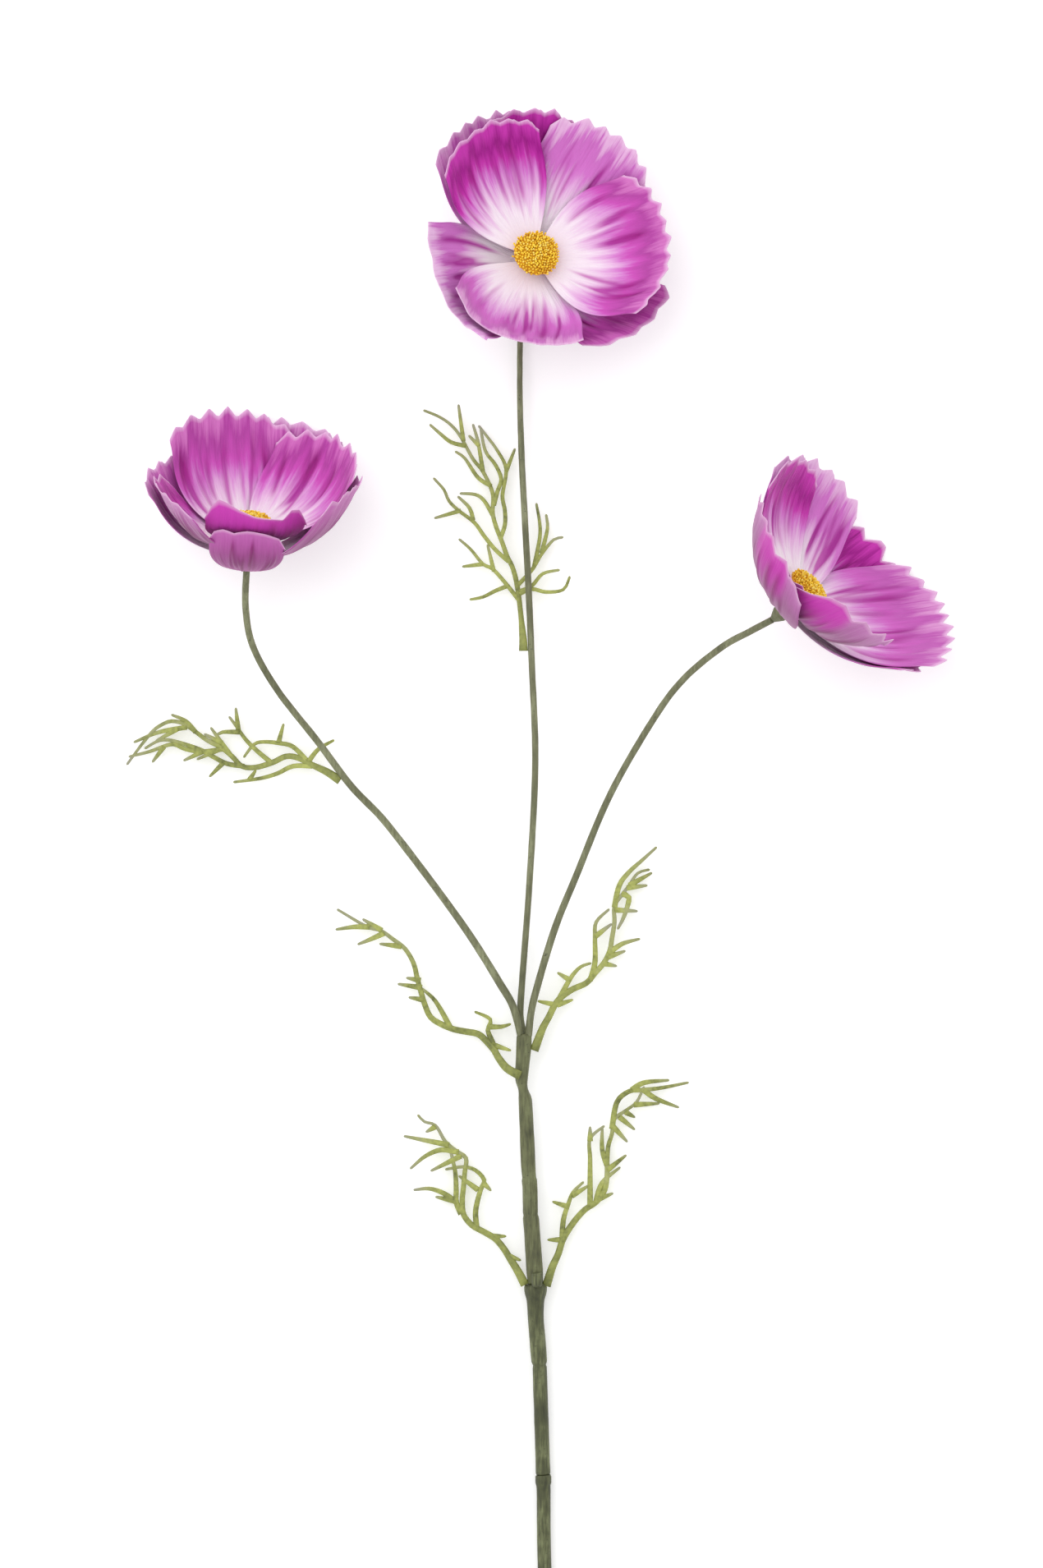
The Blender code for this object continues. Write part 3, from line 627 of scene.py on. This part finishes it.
def addFloret(k, place3, points, faces, shades, chance):
    c = centreLook
    _, across, upright, axis = place3
    sides = c["floretSides"]
    r = c["radius"] * math.sqrt((k + 0.5) / c["florets"])
    angle = k * c["turn"]
    foot = headPoint(place3, r, angle, domeHeight(r) - 0.5)
    lean = 0.5 * r / c["radius"] + chance.uniform(-0.15, 0.15)
    outward = across * math.cos(angle) + upright * math.sin(angle)
    way = axis + outward * lean + across * chance.uniform(-0.2, 0.2) + upright * chance.uniform(-0.2, 0.2)
    way.normalize()
    one = way.cross(across).normalized()
    two = way.cross(one)
    length = c["floretLength"] * chance.uniform(0.6, 1.15)
    thick = c["floretRadius"] * chance.uniform(0.8, 1.2)
    shade = chance.uniform(0.35, 1.0) * mix(1.0, 0.7, (r / c["radius"]) ** 2)
    if chance.random() < c["darkOnes"]:
        shade = 0.12
    start = len(points)
    for height, width in c["floretShape"]:
        for side in range(sides):
            turn = 2 * math.pi * side / sides
            points.append(foot + way * height * length
                          + (one * math.cos(turn) + two * math.sin(turn)) * thick * width)
            # painted shade: each floret darkens towards its foot, down among its crowded neighbours
            shades.append(shade * mix(0.55, 1.0, height))
    points.append(foot + way * length)
    shades.append(shade)
    last = start + (len(c["floretShape"]) - 1) * sides
    for low in range(start, last, sides):
        for side in range(sides):
            nextSide = (side + 1) % sides
            faces.append((low + side, low + nextSide, low + sides + nextSide, low + sides + side))
    for side in range(sides):
        faces.append((last + side, last + (side + 1) % sides, last + sides))


def makeCentre(name, place3, material, chance):
    points, faces, shades = [], [], []
    addDome(place3, points, faces, shades)
    for k in range(centreLook["florets"]):
        addFloret(k, place3, points, faces, shades, chance)
    piece = addPiece(name + "_florets", points, faces, [material], marks={"shade": shades})
    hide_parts(name)


petalMaterials = [petalFront(), petalBack()]
discMaterial = centreMaterial()
for headName, head in flowerHeads.items():
    place3 = headFrame(head)
    chance = random.Random(headName)
    for number, petal in enumerate(head["petals"], 1):
        makePetal(f"{headName}_petal_{number}", place3, petal, petalMaterials, chance)
    makeCentre(f"{headName}_centre", place3, discMaterial, chance)
    print("flower head", headName)

# Routes are (x, y, z, radius) from the cut end towards the flowers.
stemRoutes = {
    "stem_base": (
        (9.7, -57.0, 3.1, 2.85), (7.7, 0.0, 3.2, 2.85), (7.4, 28.5, 3.3, 2.9), (7.3, 30.2, 3.4, 3.0),
        (7.3, 31.2, 3.4, 3.3), (7.25, 33.6, 3.5, 3.3), (7.2, 34.3, 3.5, 3.1)),
    "main_stem": (
        (7.2, 34.45, 3.5, 2.75), (7.15, 35.2, 3.5, 3.05), (7.0, 40.0, 3.6, 3.0), (5.8, 78.5, 4.4, 2.95),
        (5.7, 79.6, 4.45, 2.7), (5.6, 81.0, 4.5, 3.25), (4.9, 90.0, 4.8, 3.35), (4.2, 99.0, 5.0, 3.3),
        (4.1, 106.0, 5.2, 3.7), (4.1, 109.0, 5.25, 4.5), (4.1, 111.5, 5.3, 4.75), (4.0, 113.0, 5.4, 4.3)),
    "upper_stem": (
        (4.0, 113.2, 5.4, 3.2), (3.6, 119.0, 5.6, 3.45), (2.8, 133.0, 6.0, 3.35), (2.3, 140.2, 6.2, 3.3),
        (2.2, 141.4, 6.2, 2.95), (2.1, 142.6, 6.3, 3.15), (1.9, 152.0, 6.5, 3.1), (1.6, 155.6, 6.6, 3.2),
        (1.5, 156.8, 6.6, 2.9), (1.0, 163.0, 6.8, 3.05), (-0.1, 187.5, 7.6, 2.85), (-0.3, 189.5, 7.7, 2.7),
        (-1.0, 193.0, 7.8, 2.0), (-1.6, 197.0, 8.0, 2.6), (-1.2, 203.0, 8.1, 2.9), (-0.7, 209.0, 8.2, 3.1),
        (-0.5, 214.6, 8.2, 3.1), (-0.5, 215.7, 8.2, 2.7)),
    "left_branch": (
        (-2.1, 215.0, 8.9, 1.45),
        (-5.0, 226.5, 9.6, 1.6),
        (-10.0, 235.5, 10.0, 1.6),
        (-26.5, 261.5, 10.8, 1.55),
        (-56.5, 301.5, 11.8, 1.5),
        (-71.5, 317.5, 12.2, 1.5),
        (-85.0, 335.5, 12.6, 1.45),
        (-101.5, 356.5, 13.2, 1.4),
        (-111.5, 374.5, 17.0, 1.4),
        (-114.3, 390.0, 22.0, 1.4),
        (-113.75, 405.2, 28.9, 1.4),
    ),
    "centre_branch": (
        (-0.5, 215.0, 6.4, 1.4),
        (-2.2, 223.0, 6.3, 1.4),
        (-1.5, 236.5, 6.8, 1.35),
        (1.5, 276.5, 8.2, 1.35),
        (4.0, 326.5, 9.0, 1.35),
        (2.5, 369.5, 9.0, 1.35),
        (1.0, 403.0, 8.6, 1.35),
        (-1.5, 449.5, 7.0, 1.3),
        (-2.4, 479.5, 4.5, 1.2),
        (-2.2, 503.5, 2.6, 1.2),
        (-1.9, 517.0, 3.4, 1.2),
        (-0.9, 524.6, 7.2, 1.2),
        (-0.1, 527.8, 11.6, 1.3),
    ),
    "right_branch": (
        (1.1, 214.9, 8.9, 1.5),
        (3.0, 228.5, 9.7, 1.5),
        (11.5, 257.5, 10.6, 1.5),
        (20.5, 280.0, 11.2, 1.45),
        (35.0, 314.5, 14.0, 1.4),
        (53.5, 346.5, 18.5, 1.4),
        (65.0, 361.5, 21.5, 1.4),
        (80.0, 374.0, 28.0, 1.4),
        (91.2, 380.2, 34.6, 1.4),
        (100.0, 384.8, 41.4, 1.4),
    ),
}
stemLook = {
    "sides": 32,
    "step": 1.0,
    "ridges": {"stem_base": (2, 0.03), "main_stem": (3, 0.05), "upper_stem": (5, 0.16)},
    "branchRidges": (3, 0.06),
    "twist": {"upper_stem": 0.02},
    "slightTwist": 0.008,
    "knobble": 0.07,
    "olive": tone(80, 84, 54),
    "upperOlive": tone(98, 101, 68),
    "dark": tone(42, 44, 28),
    "light": tone(128, 134, 94),
    "speck": tone(52, 56, 38),
    "branchDark": tone(80, 82, 58),
    "branchMiddle": tone(112, 114, 84),
    "branchLight": tone(146, 150, 116),
}

# Leaf threads are (x, y); their height falls from the stem to the ground.
leafRoutes = {
    "centre_leaf": {
        "height": (9.4, 4.6),
        "settle": 11.0,
        "girth": 0.95,
        "threads": (
            ((-0.9, 374.5), (-1.0, 377.5), (-2.4, 392), (-3.8, 401.5), (-5.5, 407.5), (-7.5, 411.5),
             (-10, 418.5), (-12, 423.5), (-13.5, 429.5), (-13.5, 437.5), (-17.5, 446.5),
             (-21.5, 451.5), (-26.5, 460.5), (-30.5, 465.5), (-35.5, 469), (-41.5, 471.5)),
            ((-25.5, 459), (-27.5, 473.5)),
            ((-24.5, 457), (-30.5, 458.5), (-35, 462), (-39, 465.5)),
            ((-14, 440.5), (-19.5, 444), (-25, 452), (-28.5, 454.5)),
            ((-17.5, 446.5), (-19.5, 458.5), (-21.5, 465.5)),
            ((-19, 457), (-23, 461)),
            ((-13, 432.5), (-11.5, 438.5), (-10, 443.5), (-12.5, 449.5), (-16.5, 455), (-18.5, 464.5)),
            ((-10.5, 418.5), (-8.5, 424.5), (-8.5, 430.5), (-9.5, 436.5), (-8, 447.5),
             (-11.5, 455), (-15.5, 460.5), (-19, 465)),
            ((-8, 446.5), (-4.5, 455.5)),
            ((-7, 409.5), (-12.5, 414.5), (-17, 420), (-21, 425.5), (-27.5, 430.5),
             (-31.5, 434.5), (-33.5, 439), (-37.5, 443.5)),
            ((-26.5, 430.5), (-37, 427.5)),
            ((-21.5, 426.5), (-23, 431.5), (-27.5, 436)),
            ((-13.5, 428.5), (-17, 434.5), (-20.5, 437), (-26.5, 437.5)),
            ((-3, 394), (-8.5, 401), (-13.5, 406.5), (-17.5, 408.5), (-22.5, 414.5), (-27, 418.5)),
            ((-17.5, 408.5), (-25.5, 407.5)),
            ((-13, 405.5), (-15.5, 416)),
            ((-7.5, 399.5), (-12.5, 397.5), (-17.5, 395), (-22.5, 394)),
            ((-4, 399), (2.5, 406), (6.5, 412.5), (11.5, 418.5), (15, 419.5)),
            ((6.5, 413), (9, 423), (8.5, 428.5)),
            ((3.5, 407.5), (6, 421.5), (4.5, 433)),
            ((-3.5, 397), (2.5, 399.5), (7, 404.5), (13.5, 406)),
            ((-3, 396), (2.5, 398.2), (8.5, 397), (15.5, 398), (18, 403)),
        ),
    },
    "left_leaf": {
        "height": (11.6, 4.4),
        "settle": 12.0,
        "girth": 1.1,
        "threads": (
            ((-77.4, 320.6), (-81.5, 323.2), (-87.5, 326), (-93.5, 329), (-98.5, 329.5),
             (-104, 327), (-111, 325), (-116.5, 325.5), (-120.5, 329.5), (-125.5, 333.5),
             (-130.5, 336), (-136, 340), (-140.5, 343), (-145.5, 344), (-149.5, 342.5),
             (-153, 340), (-158, 334), (-163.5, 326.5)),
            ((-135.5, 339.5), (-139.5, 344), (-145, 346.5)),
            ((-139, 341.5), (-150.5, 339.5), (-160.5, 335.5)),
            ((-142.5, 341), (-151.5, 336)),
            ((-115.5, 325.5), (-122.5, 326.5), (-128.5, 329.5), (-134, 332.5), (-145, 336),
             (-150.5, 336), (-156, 333)),
            ((-124.5, 332.5), (-132.5, 331.5), (-139.5, 332.5), (-144.5, 334.5), (-149, 333.5),
             (-154.5, 331.5), (-162.5, 329.5)),
            ((-148.5, 333.5), (-153, 327.5)),
            ((-132.5, 331.5), (-140, 328)),
            ((-125.5, 332.5), (-134.5, 328.5)),
            ((-124, 327), (-129.5, 321.5)),
            ((-104.5, 327), (-110.5, 332), (-115, 336.5), (-118.5, 341.5), (-121.5, 345.5)),
            ((-118, 340.5), (-119, 349)),
            ((-117.5, 339.5), (-124.5, 339.5), (-127, 338)),
            ((-121.5, 330.5), (-126.5, 337.5), (-129, 341)),
            ((-124.5, 335), (-131.5, 338.5)),
            ((-89, 327), (-95.5, 333.5), (-101.5, 335), (-107.5, 335.5), (-111.5, 334.5),
             (-115.5, 329.5)),
            ((-101.5, 335), (-99.5, 342.5)),
            ((-89, 327.5), (-85, 332.5), (-79, 336)),
            ((-87.5, 325.5), (-95.5, 325.5), (-102, 322.5), (-109, 320.5), (-119.5, 319)),
            ((-113.5, 319.8), (-111, 323.5)),
        ),
    },
    "middle_left_leaf": {
        "height": (11.8, 4.0),
        "settle": 11.0,
        "threads": (
            ((-3.8, 199.5), (-8, 202), (-11.5, 206.5), (-12.5, 208.5), (-16, 212.5), (-19.5, 215.5),
             (-24.5, 216.5), (-29.5, 217.5), (-34.5, 219.5), (-39, 222.5), (-41.5, 228),
             (-43, 233), (-44.5, 238.5), (-46, 244.5), (-49.5, 250.5), (-54.5, 254.5),
             (-59.5, 258), (-65, 259.5), (-77, 266.5)),
            ((-64, 259.5), (-70.5, 259.5), (-77.5, 258.5)),
            ((-58, 257), (-63.5, 254.5), (-68.5, 252.5)),
            ((-51, 251.5), (-59.5, 252.5)),
            ((-59, 258), (-66.5, 262.5)),
            ((-42.5, 234.5), (-52, 236)),
            ((-41.5, 229.5), (-47.5, 230.5)),
            ((-43, 237.5), (-48.5, 238.5)),
            ((-30.5, 217.5), (-37, 229), (-43, 234.5)),
            ((-12.5, 207.5), (-13.5, 212), (-15.5, 217), (-14.5, 221.5), (-20.5, 224.5)),
            ((-15.4, 218.5), (-10, 218.5), (-6.5, 219.5)),
            ((-13, 211), (-6.5, 209)),
        ),
    },
    "middle_right_leaf": {
        "height": (8.6, 4.2),
        "settle": 14.0,
        "threads": (
            ((4.1, 210.5), (7, 218), (9.5, 222.5), (12, 227.5), (15, 231), (19.5, 234),
             (25, 236.5), (28.5, 240.5), (32, 244.5), (34.5, 249.5), (35.5, 255), (36.5, 261.5),
             (36.5, 268), (39.5, 272.5), (42.5, 276.5), (46, 281.5), (50.5, 283)),
            ((36.5, 267.5), (38.5, 276.5), (42.5, 282), (48, 287), (53.5, 292)),
            ((42.5, 276.5), (51.5, 281.5)),
            ((41.5, 275.5), (49.5, 276.5)),
            ((39.5, 273), (42.5, 271.5), (40.5, 264), (38, 259)),
            ((36.5, 266.5), (45.5, 266)),
            ((34, 248.5), (39.5, 252.5), (46.5, 254.5)),
            ((33.5, 247), (40.5, 249.5)),
            ((32, 244.5), (37, 243.5)),
            ((26.5, 237.5), (28.5, 245), (28.5, 255), (29, 261.5), (34, 266.5)),
            ((28.5, 255.5), (35, 260.5)),
            ((13, 228.5), (18.5, 238.5), (22.5, 243), (26.5, 244.5)),
            ((18.5, 237.5), (13.5, 240.5)),
            ((12.5, 227.5), (5.5, 229)),
            ((13, 227.5), (19, 229.5)),
        ),
    },
    "lower_left_leaf": {
        "height": (6.4, 4.0),
        "settle": 12.0,
        "threads": (
            ((-1.0, 114.2), (-3.3, 118.5), (-6.5, 123.5), (-9, 127.5), (-12.5, 131.5),
             (-17.5, 134.5), (-22, 137), (-25.5, 141.5), (-26, 147.5), (-25.5, 152.5),
             (-25, 158.5), (-24.5, 164.5), (-28.5, 167.5), (-33, 171.5), (-37, 178),
             (-41.5, 179.5), (-44, 182)),
            ((-37, 177.5), (-40.5, 175.5)),
            ((-31.5, 170), (-49.5, 173.5)),
            ((-27.5, 167), (-34.5, 168), (-41, 165.5), (-47, 160.5)),
            ((-26.5, 165.5), (-38.5, 159.5)),
            ((-26.5, 141.5), (-28.5, 146.5), (-28.5, 151.5), (-29, 159.5), (-31.5, 170.5)),
            ((-28, 146), (-33.5, 150), (-39.5, 152), (-45.5, 151.5)),
            ((-29.5, 147), (-36.5, 148.5)),
            ((-20, 135.5), (-20.5, 143), (-18.5, 151.5), (-17, 155.5), (-20.5, 159.5),
             (-25.5, 161), (-32.5, 160)),
            ((-17.5, 154.5), (-14.5, 151.5)),
            ((-19.5, 151.5), (-27, 157)),
            ((-14, 132.5), (-8.5, 132.5)),
            ((-7, 124.5), (-2.4, 122.8)),
        ),
    },
    "lower_right_leaf": {
        "height": (6.4, 4.2),
        "settle": 12.0,
        "threads": (
            ((9.0, 113.8), (11, 120), (13.5, 125.5), (15.5, 131.5), (20, 138.5), (24.5, 143.5),
             (29, 146.5), (32.5, 151.5), (33.5, 157.5), (33.5, 163), (34, 169.5), (35.5, 174.5),
             (36.5, 180.5), (41, 184), (45.5, 187.5), (48.5, 193.5)),
            ((35.5, 176.5), (37.5, 187.5), (42.5, 192), (48, 192.5), (56.5, 193.5), (66.5, 195.5)),
            ((43.5, 192.5), (48.5, 195.5), (58.5, 196.5)),
            ((48.5, 192.5), (53.5, 189), (62.5, 185.5)),
            ((44.5, 186.5), (54.5, 187)),
            ((41, 183.5), (44.5, 181.5)),
            ((38.5, 181.5), (44.5, 176.5)),
            ((36, 177.5), (41.5, 171.5)),
            ((33.5, 159.5), (41, 165.5)),
            ((29, 147), (31.5, 154.5), (38.5, 160.5)),
            ((29.5, 147.5), (35.5, 150)),
            ((26.5, 144.5), (26.5, 156), (26.5, 164.5), (26.5, 172.5), (32, 177.5)),
            ((26.5, 171.5), (26.5, 177)),
            ((33.5, 161.5), (31.5, 168), (31.5, 176.5)),
            ((15, 130.5), (15.5, 139), (17.5, 145.5), (19.5, 150.5), (23.5, 154.5)),
            ((17.5, 144.5), (11.5, 146.5)),
            ((19, 149), (25.5, 153)),
            ((14.5, 131), (9.5, 131)),
        ),
    },
}
leafLook = {
    "step": 1.6,
    "sides": 10,
    "stalk": 1.95,
    "stalkLength": 13.0,
    "heel": 1.7,
    "thread": 1.22,
    "side": 1.0,
    "tip": 0.58,
    "ends": ((0.35, 0.7), (0.6, 0.3)),  # steps past a thread's last point, and the share of its radius there
    "girth": 1.25,
    "flatness": 0.6,
    "groove": 0.24,
    "ripple": 0.9,
    "spread": 55.0,  # tips this far from the stem are fully grey
    "fresh": tone(180, 186, 98),
    "mid": tone(144, 150, 76),
    "deep": tone(94, 100, 48),
    "grey": tone(150, 150, 124),
    "dry": tone(166, 140, 96),
}


def smoothRoute(points, step):
    route = [tuple(points[0])]
    for k in range(len(points) - 1):
        before, start = Vector(points[max(k - 1, 0)]), Vector(points[k])
        finish, after = Vector(points[k + 1]), Vector(points[min(k + 2, len(points) - 1)])
        pieces = max(1, round((finish - start).length / step))
        outSlope, inSlope = (finish - before) / 2, (after - start) / 2
        # close-set points would otherwise overshoot
        reach = (finish - start).length
        outSlope *= min(1.0, reach * 1.2 / max(outSlope.length, 1e-6))
        inSlope *= min(1.0, reach * 1.2 / max(inSlope.length, 1e-6))
        for piece in range(1, pieces + 1):
            t = piece / pieces
            route.append(tuple(start * (2 * t ** 3 - 3 * t ** 2 + 1) + outSlope * (t ** 3 - 2 * t ** 2 + t)
                               + finish * (3 * t ** 2 - 2 * t ** 3) + inSlope * (t ** 3 - t ** 2)))
    return route


def sweep(route, sides, shape, points, faces, uvs):
    # shape(angle, travelled, radius) -> across and up offsets of the section
    places = [Vector(spot[:3]) for spot in route]
    first = len(points)
    sideWay = None
    travelled = 0.0
    for k, spot in enumerate(places):
        if k:
            travelled += (spot - places[k - 1]).length
        along = (places[min(k + 1, len(places) - 1)] - places[max(k - 1, 0)]).normalized()
        if sideWay is None:
            sideWay = along.cross(Vector((0, 0, 1))).normalized()
        sideWay = (sideWay - along * sideWay.dot(along)).normalized()
        upWay = sideWay.cross(along)
        for side in range(sides):
            a, b = shape(2 * math.pi * (side + 0.5) / sides, travelled, route[k][3])
            points.append(spot + sideWay * a + upWay * b)
            uvs.append((side / sides, travelled / 10))
    rings = len(places)
    for ring in range(rings - 1):
        for side in range(sides):
            nextSide = (side + 1) % sides
            low, high = first + ring * sides, first + (ring + 1) * sides
            faces.append((low + side, low + nextSide, high + nextSide, high + side))
    faces.append(tuple(reversed(range(first, first + sides))))
    faces.append(tuple(range(first + (rings - 1) * sides, first + rings * sides)))


def stemMaterial(name, dark, middle, light):
    m, tree, shader = newMaterial(name)
    where = objectSpot(tree)
    stretch = addNode(tree, "ShaderNodeMapping")
    stretch.inputs["Scale"].default_value = (900, 110, 900)
    tree.links.new(where, stretch.inputs["Vector"])
    fibres = noiseOf(tree, stretch.outputs["Vector"], 1.0, 4.0, 0.6)
    patches = noiseOf(tree, where, 60.0, 3.0, 0.6)
    specks = noiseOf(tree, where, 900.0, 2.0, 0.5)
    body = ramp(tree, added(tree, fibres, 0.5, patches, 0.5), ((0.30, dark), (0.5, middle), (0.68, light)))
    speckled, patchy = above(tree, specks, 0.62, 9.0, True), above(tree, patches, 0.42, 5.0, True)
    speckShare = maths(tree, "MULTIPLY", maths(tree, "MULTIPLY", speckled, patchy), 0.8)
    coloured = blendColours(tree, speckShare, body, stemLook["speck"])
    tree.links.new(coloured, shader.inputs["Base Color"])
    roughen(tree, shader, fibres, 0.25, 0.42)
    bump(tree, shader, added(tree, fibres, 1.0, specks, 0.4), 0.5, 0.0005)
    shader.inputs["Specular IOR Level"].default_value = 0.4
    return m


def makeStem(name, material):
    points, faces, uvs = [], [], []
    count, depth = stemLook["ridges"].get(name, stemLook["branchRidges"])
    twist = stemLook["twist"].get(name, stemLook["slightTwist"])

    def shape(angle, travelled, radius):
        ridge = depth * (math.cos((angle + travelled * twist) * count) ** 3 - 0.4)
        spot = (math.cos(angle) * 1.2, math.sin(angle) * 1.2, travelled * 0.16 + len(name))
        r = radius + ridge + stemLook["knobble"] * noise.noise(spot)
        return r * math.cos(angle), r * math.sin(angle)

    sweep(smoothRoute(stemRoutes[name], stemLook["step"]), stemLook["sides"], shape, points, faces, uvs)
    piece = addPiece(name + "_skin", points, faces, [material], uvs)
    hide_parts(name)


def leafMaterial():
    m, tree, shader = newMaterial("leafThreads")
    c = leafLook
    tip, core = markOf(tree, "tip"), markOf(tree, "core")
    where = objectSpot(tree)
    patches = noiseOf(tree, where, 90.0, 3.0, 0.6)
    fine = noiseOf(tree, where, 700.0, 3.0, 0.6)
    body = ramp(tree, added(tree, patches, 0.6, fine, 0.4),
                ((0.32, c["deep"]), (0.46, c["mid"]), (0.64, c["fresh"])))
    greyed = maths(tree, "ADD", maths(tree, "MULTIPLY", tip, 0.9), above(tree, patches, 0.5, 1.6))
    withTips = blendColours(tree, above(tree, greyed, 0.45, 1.5, True), body, c["grey"])
    dryness = maths(tree, "MULTIPLY", above(tree, fine, 0.62, 6.0, True), maths(tree, "MULTIPLY", tip, 0.7))
    withDry = blendColours(tree, dryness, withTips, c["dry"])
    shaded = blendColours(tree, maths(tree, "MULTIPLY", core, 0.45), withDry, c["deep"])
    tree.links.new(shaded, shader.inputs["Base Color"])
    roughen(tree, shader, fine, 0.3, 0.38)
    bump(tree, shader, fine, 0.5, 0.0004)
    return m


def threadPoints(thread, isStalk):
    # the thread's line on the flat, and its length without the pointed end
    flat = smoothRoute([(x, y, 0.0) for x, y in thread], leafLook["step"])
    total = sum(math.dist(a, b) for a, b in zip(flat, flat[1:]))
    ahead = (Vector(flat[-1]) - Vector(flat[-2])).normalized()
    flat += [tuple(Vector(flat[-1]) + ahead * step) for step, _ in leafLook["ends"]]
    if isStalk:  # it runs on to the stem
        back = (Vector(flat[0]) - Vector(flat[1])).normalized()
        flat.insert(0, tuple(Vector(flat[0]) + back * leafLook["heel"]))
    return flat, total


def makeLeaf(name, leaf, material):
    c = leafLook
    points, faces, uvs, tips, cores = [], [], [], [], []
    start = leaf["threads"][0][0]
    high, low = leaf["height"]

    def heightAt(x, y):
        near = math.exp(-(math.hypot(x - start[0], y - start[1]) / leaf["settle"]) ** 2)
        return mix(low, high, near) + math.sin(x / 8) * math.cos(y / 9) * c["ripple"] * (1 - near)

    def shape(angle, _, radius):
        groove = 1 - c["groove"] * max(0.0, math.sin(angle)) ** 8
        return radius * math.cos(angle), radius * c["flatness"] * math.sin(angle) * groove

    for k, thread in enumerate(leaf["threads"]):
        flat, total = threadPoints(thread, k == 0)
        girth = (c["side"] if k else c["thread"]) * leaf.get("girth", c["girth"])
        travelled, route = 0.0, []
        for n, (x, y, _) in enumerate(flat):
            travelled += math.dist(flat[n - 1], flat[n]) if n else 0.0
            share = clamp(travelled / total)
            radius = mix(girth, c["tip"], share ** 1.5)
            if k == 0:
                radius = mix(c["stalk"], radius, clamp(travelled / c["stalkLength"]))
            if n >= len(flat) - len(c["ends"]):
                radius *= c["ends"][n - len(flat)][1]
            route.append((x, y, heightAt(x, y), radius))
            distance = math.hypot(x - start[0], y - start[1])
            tips += [clamp(share * clamp(distance / c["spread"]))] * c["sides"]
            cores += [clamp(1 - share * 2) if k == 0 else 0.0] * c["sides"]
        sweep(route, c["sides"], shape, points, faces, uvs)
    piece = addPiece(name + "_threads", points, faces, [material], uvs, {"tip": tips, "core": cores})
    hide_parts(name)


stemSkin, upperSkin, branchSkin = [
    stemMaterial(name, *[stemLook[part] for part in parts])
    for name, parts in (("stemSkin", ("dark", "olive", "light")),
                        ("upperSkin", ("dark", "upperOlive", "light")),
                        ("branchSkin", ("branchDark", "branchMiddle", "branchLight")))]
for name in stemRoutes:
    if name.endswith("branch"):
        makeStem(name, branchSkin)
    else:
        makeStem(name, upperSkin if name == "upper_stem" else stemSkin)
print("stems")

leafSkin = leafMaterial()
for name, leaf in leafRoutes.items():
    makeLeaf(name, leaf, leafSkin)
print("leaves")

# the small kept CAD pieces take the same materials
for name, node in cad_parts.items():
    if name.endswith("receptacle"):
        node.data.materials[0] = branchSkin
    elif name == "stem_nub":
        node.data.materials[0] = stemSkin

roomLook = {
    "worldStrength": 0.95,
    "lampPower": 14.0,
    "lampSize": 2.2,
    "lampSpot": (-0.9, 1.0, 1.9),
    "lampAim": (0, 0.3, 0),
    "floorSize": 12.0,
    "floorDrop": 0.0004,  # the ruffled rims dip about this far
    "floorGlow": 0.25,
    "paper": ((0.3, (0.90, 0.90, 0.90, 1)), (0.7, (0.92, 0.92, 0.92, 1))),
}


def makeFloor():
    m, tree, shader = newMaterial("floorPaper")
    colour = ramp(tree, noiseOf(tree, objectSpot(tree), 30.0, 3.0), roomLook["paper"])
    tree.links.new(colour, shader.inputs["Base Color"])
    shader.inputs["Roughness"].default_value = 0.9
    shader.inputs["Specular IOR Level"].default_value = 0.1
    shader.inputs["Emission Color"].default_value = (1, 1, 1, 1)
    shader.inputs["Emission Strength"].default_value = roomLook["floorGlow"]
    size = roomLook["floorSize"] / 2
    mesh = bpy.data.meshes.new("floor")
    corners = [(-size, -size, 0), (size, -size, 0), (size, size, 0), (-size, size, 0)]
    mesh.from_pydata(corners, [], [(0, 1, 2, 3)])
    mesh.materials.append(m)
    floor = bpy.data.objects.new("floor", mesh)
    bpy.context.scene.collection.objects.link(floor)
    floor.location.z = -roomLook["floorDrop"]


def makeLight():
    world = bpy.data.worlds.new("softRoom")
    world.use_nodes = True
    world.node_tree.nodes["Background"].inputs["Color"].default_value = (1, 1, 1, 1)
    world.node_tree.nodes["Background"].inputs["Strength"].default_value = roomLook["worldStrength"]
    bpy.context.scene.world = world
    lamp = bpy.data.lights.new("softLamp", "AREA")
    lamp.shape = "DISK"
    lamp.size = roomLook["lampSize"]
    lamp.energy = roomLook["lampPower"]
    lampObject = bpy.data.objects.new("softLamp", lamp)
    lampObject.location = roomLook["lampSpot"]
    aim = Vector(roomLook["lampAim"]) - lampObject.location
    lampObject.rotation_euler = aim.to_track_quat("-Z", "Y").to_euler()
    bpy.context.scene.collection.objects.link(lampObject)


cameraLook = {"spot": (-1.67, 318.2, 3020.0), "lens": 168.6, "sensor": 36.0}


def makeCamera():
    # looks straight down, as a new camera does
    camera = bpy.data.cameras.new("camera")
    camera.sensor_fit = "VERTICAL"
    camera.sensor_height = cameraLook["sensor"]
    camera.lens = cameraLook["lens"]
    cameraObject = bpy.data.objects.new("camera", camera)
    cameraObject.location = place(cameraLook["spot"])
    bpy.context.scene.collection.objects.link(cameraObject)
    bpy.context.scene.camera = cameraObject


makeFloor()
makeLight()
makeCamera()
bpy.context.scene.view_settings.view_transform = "Standard"
print("room and camera")
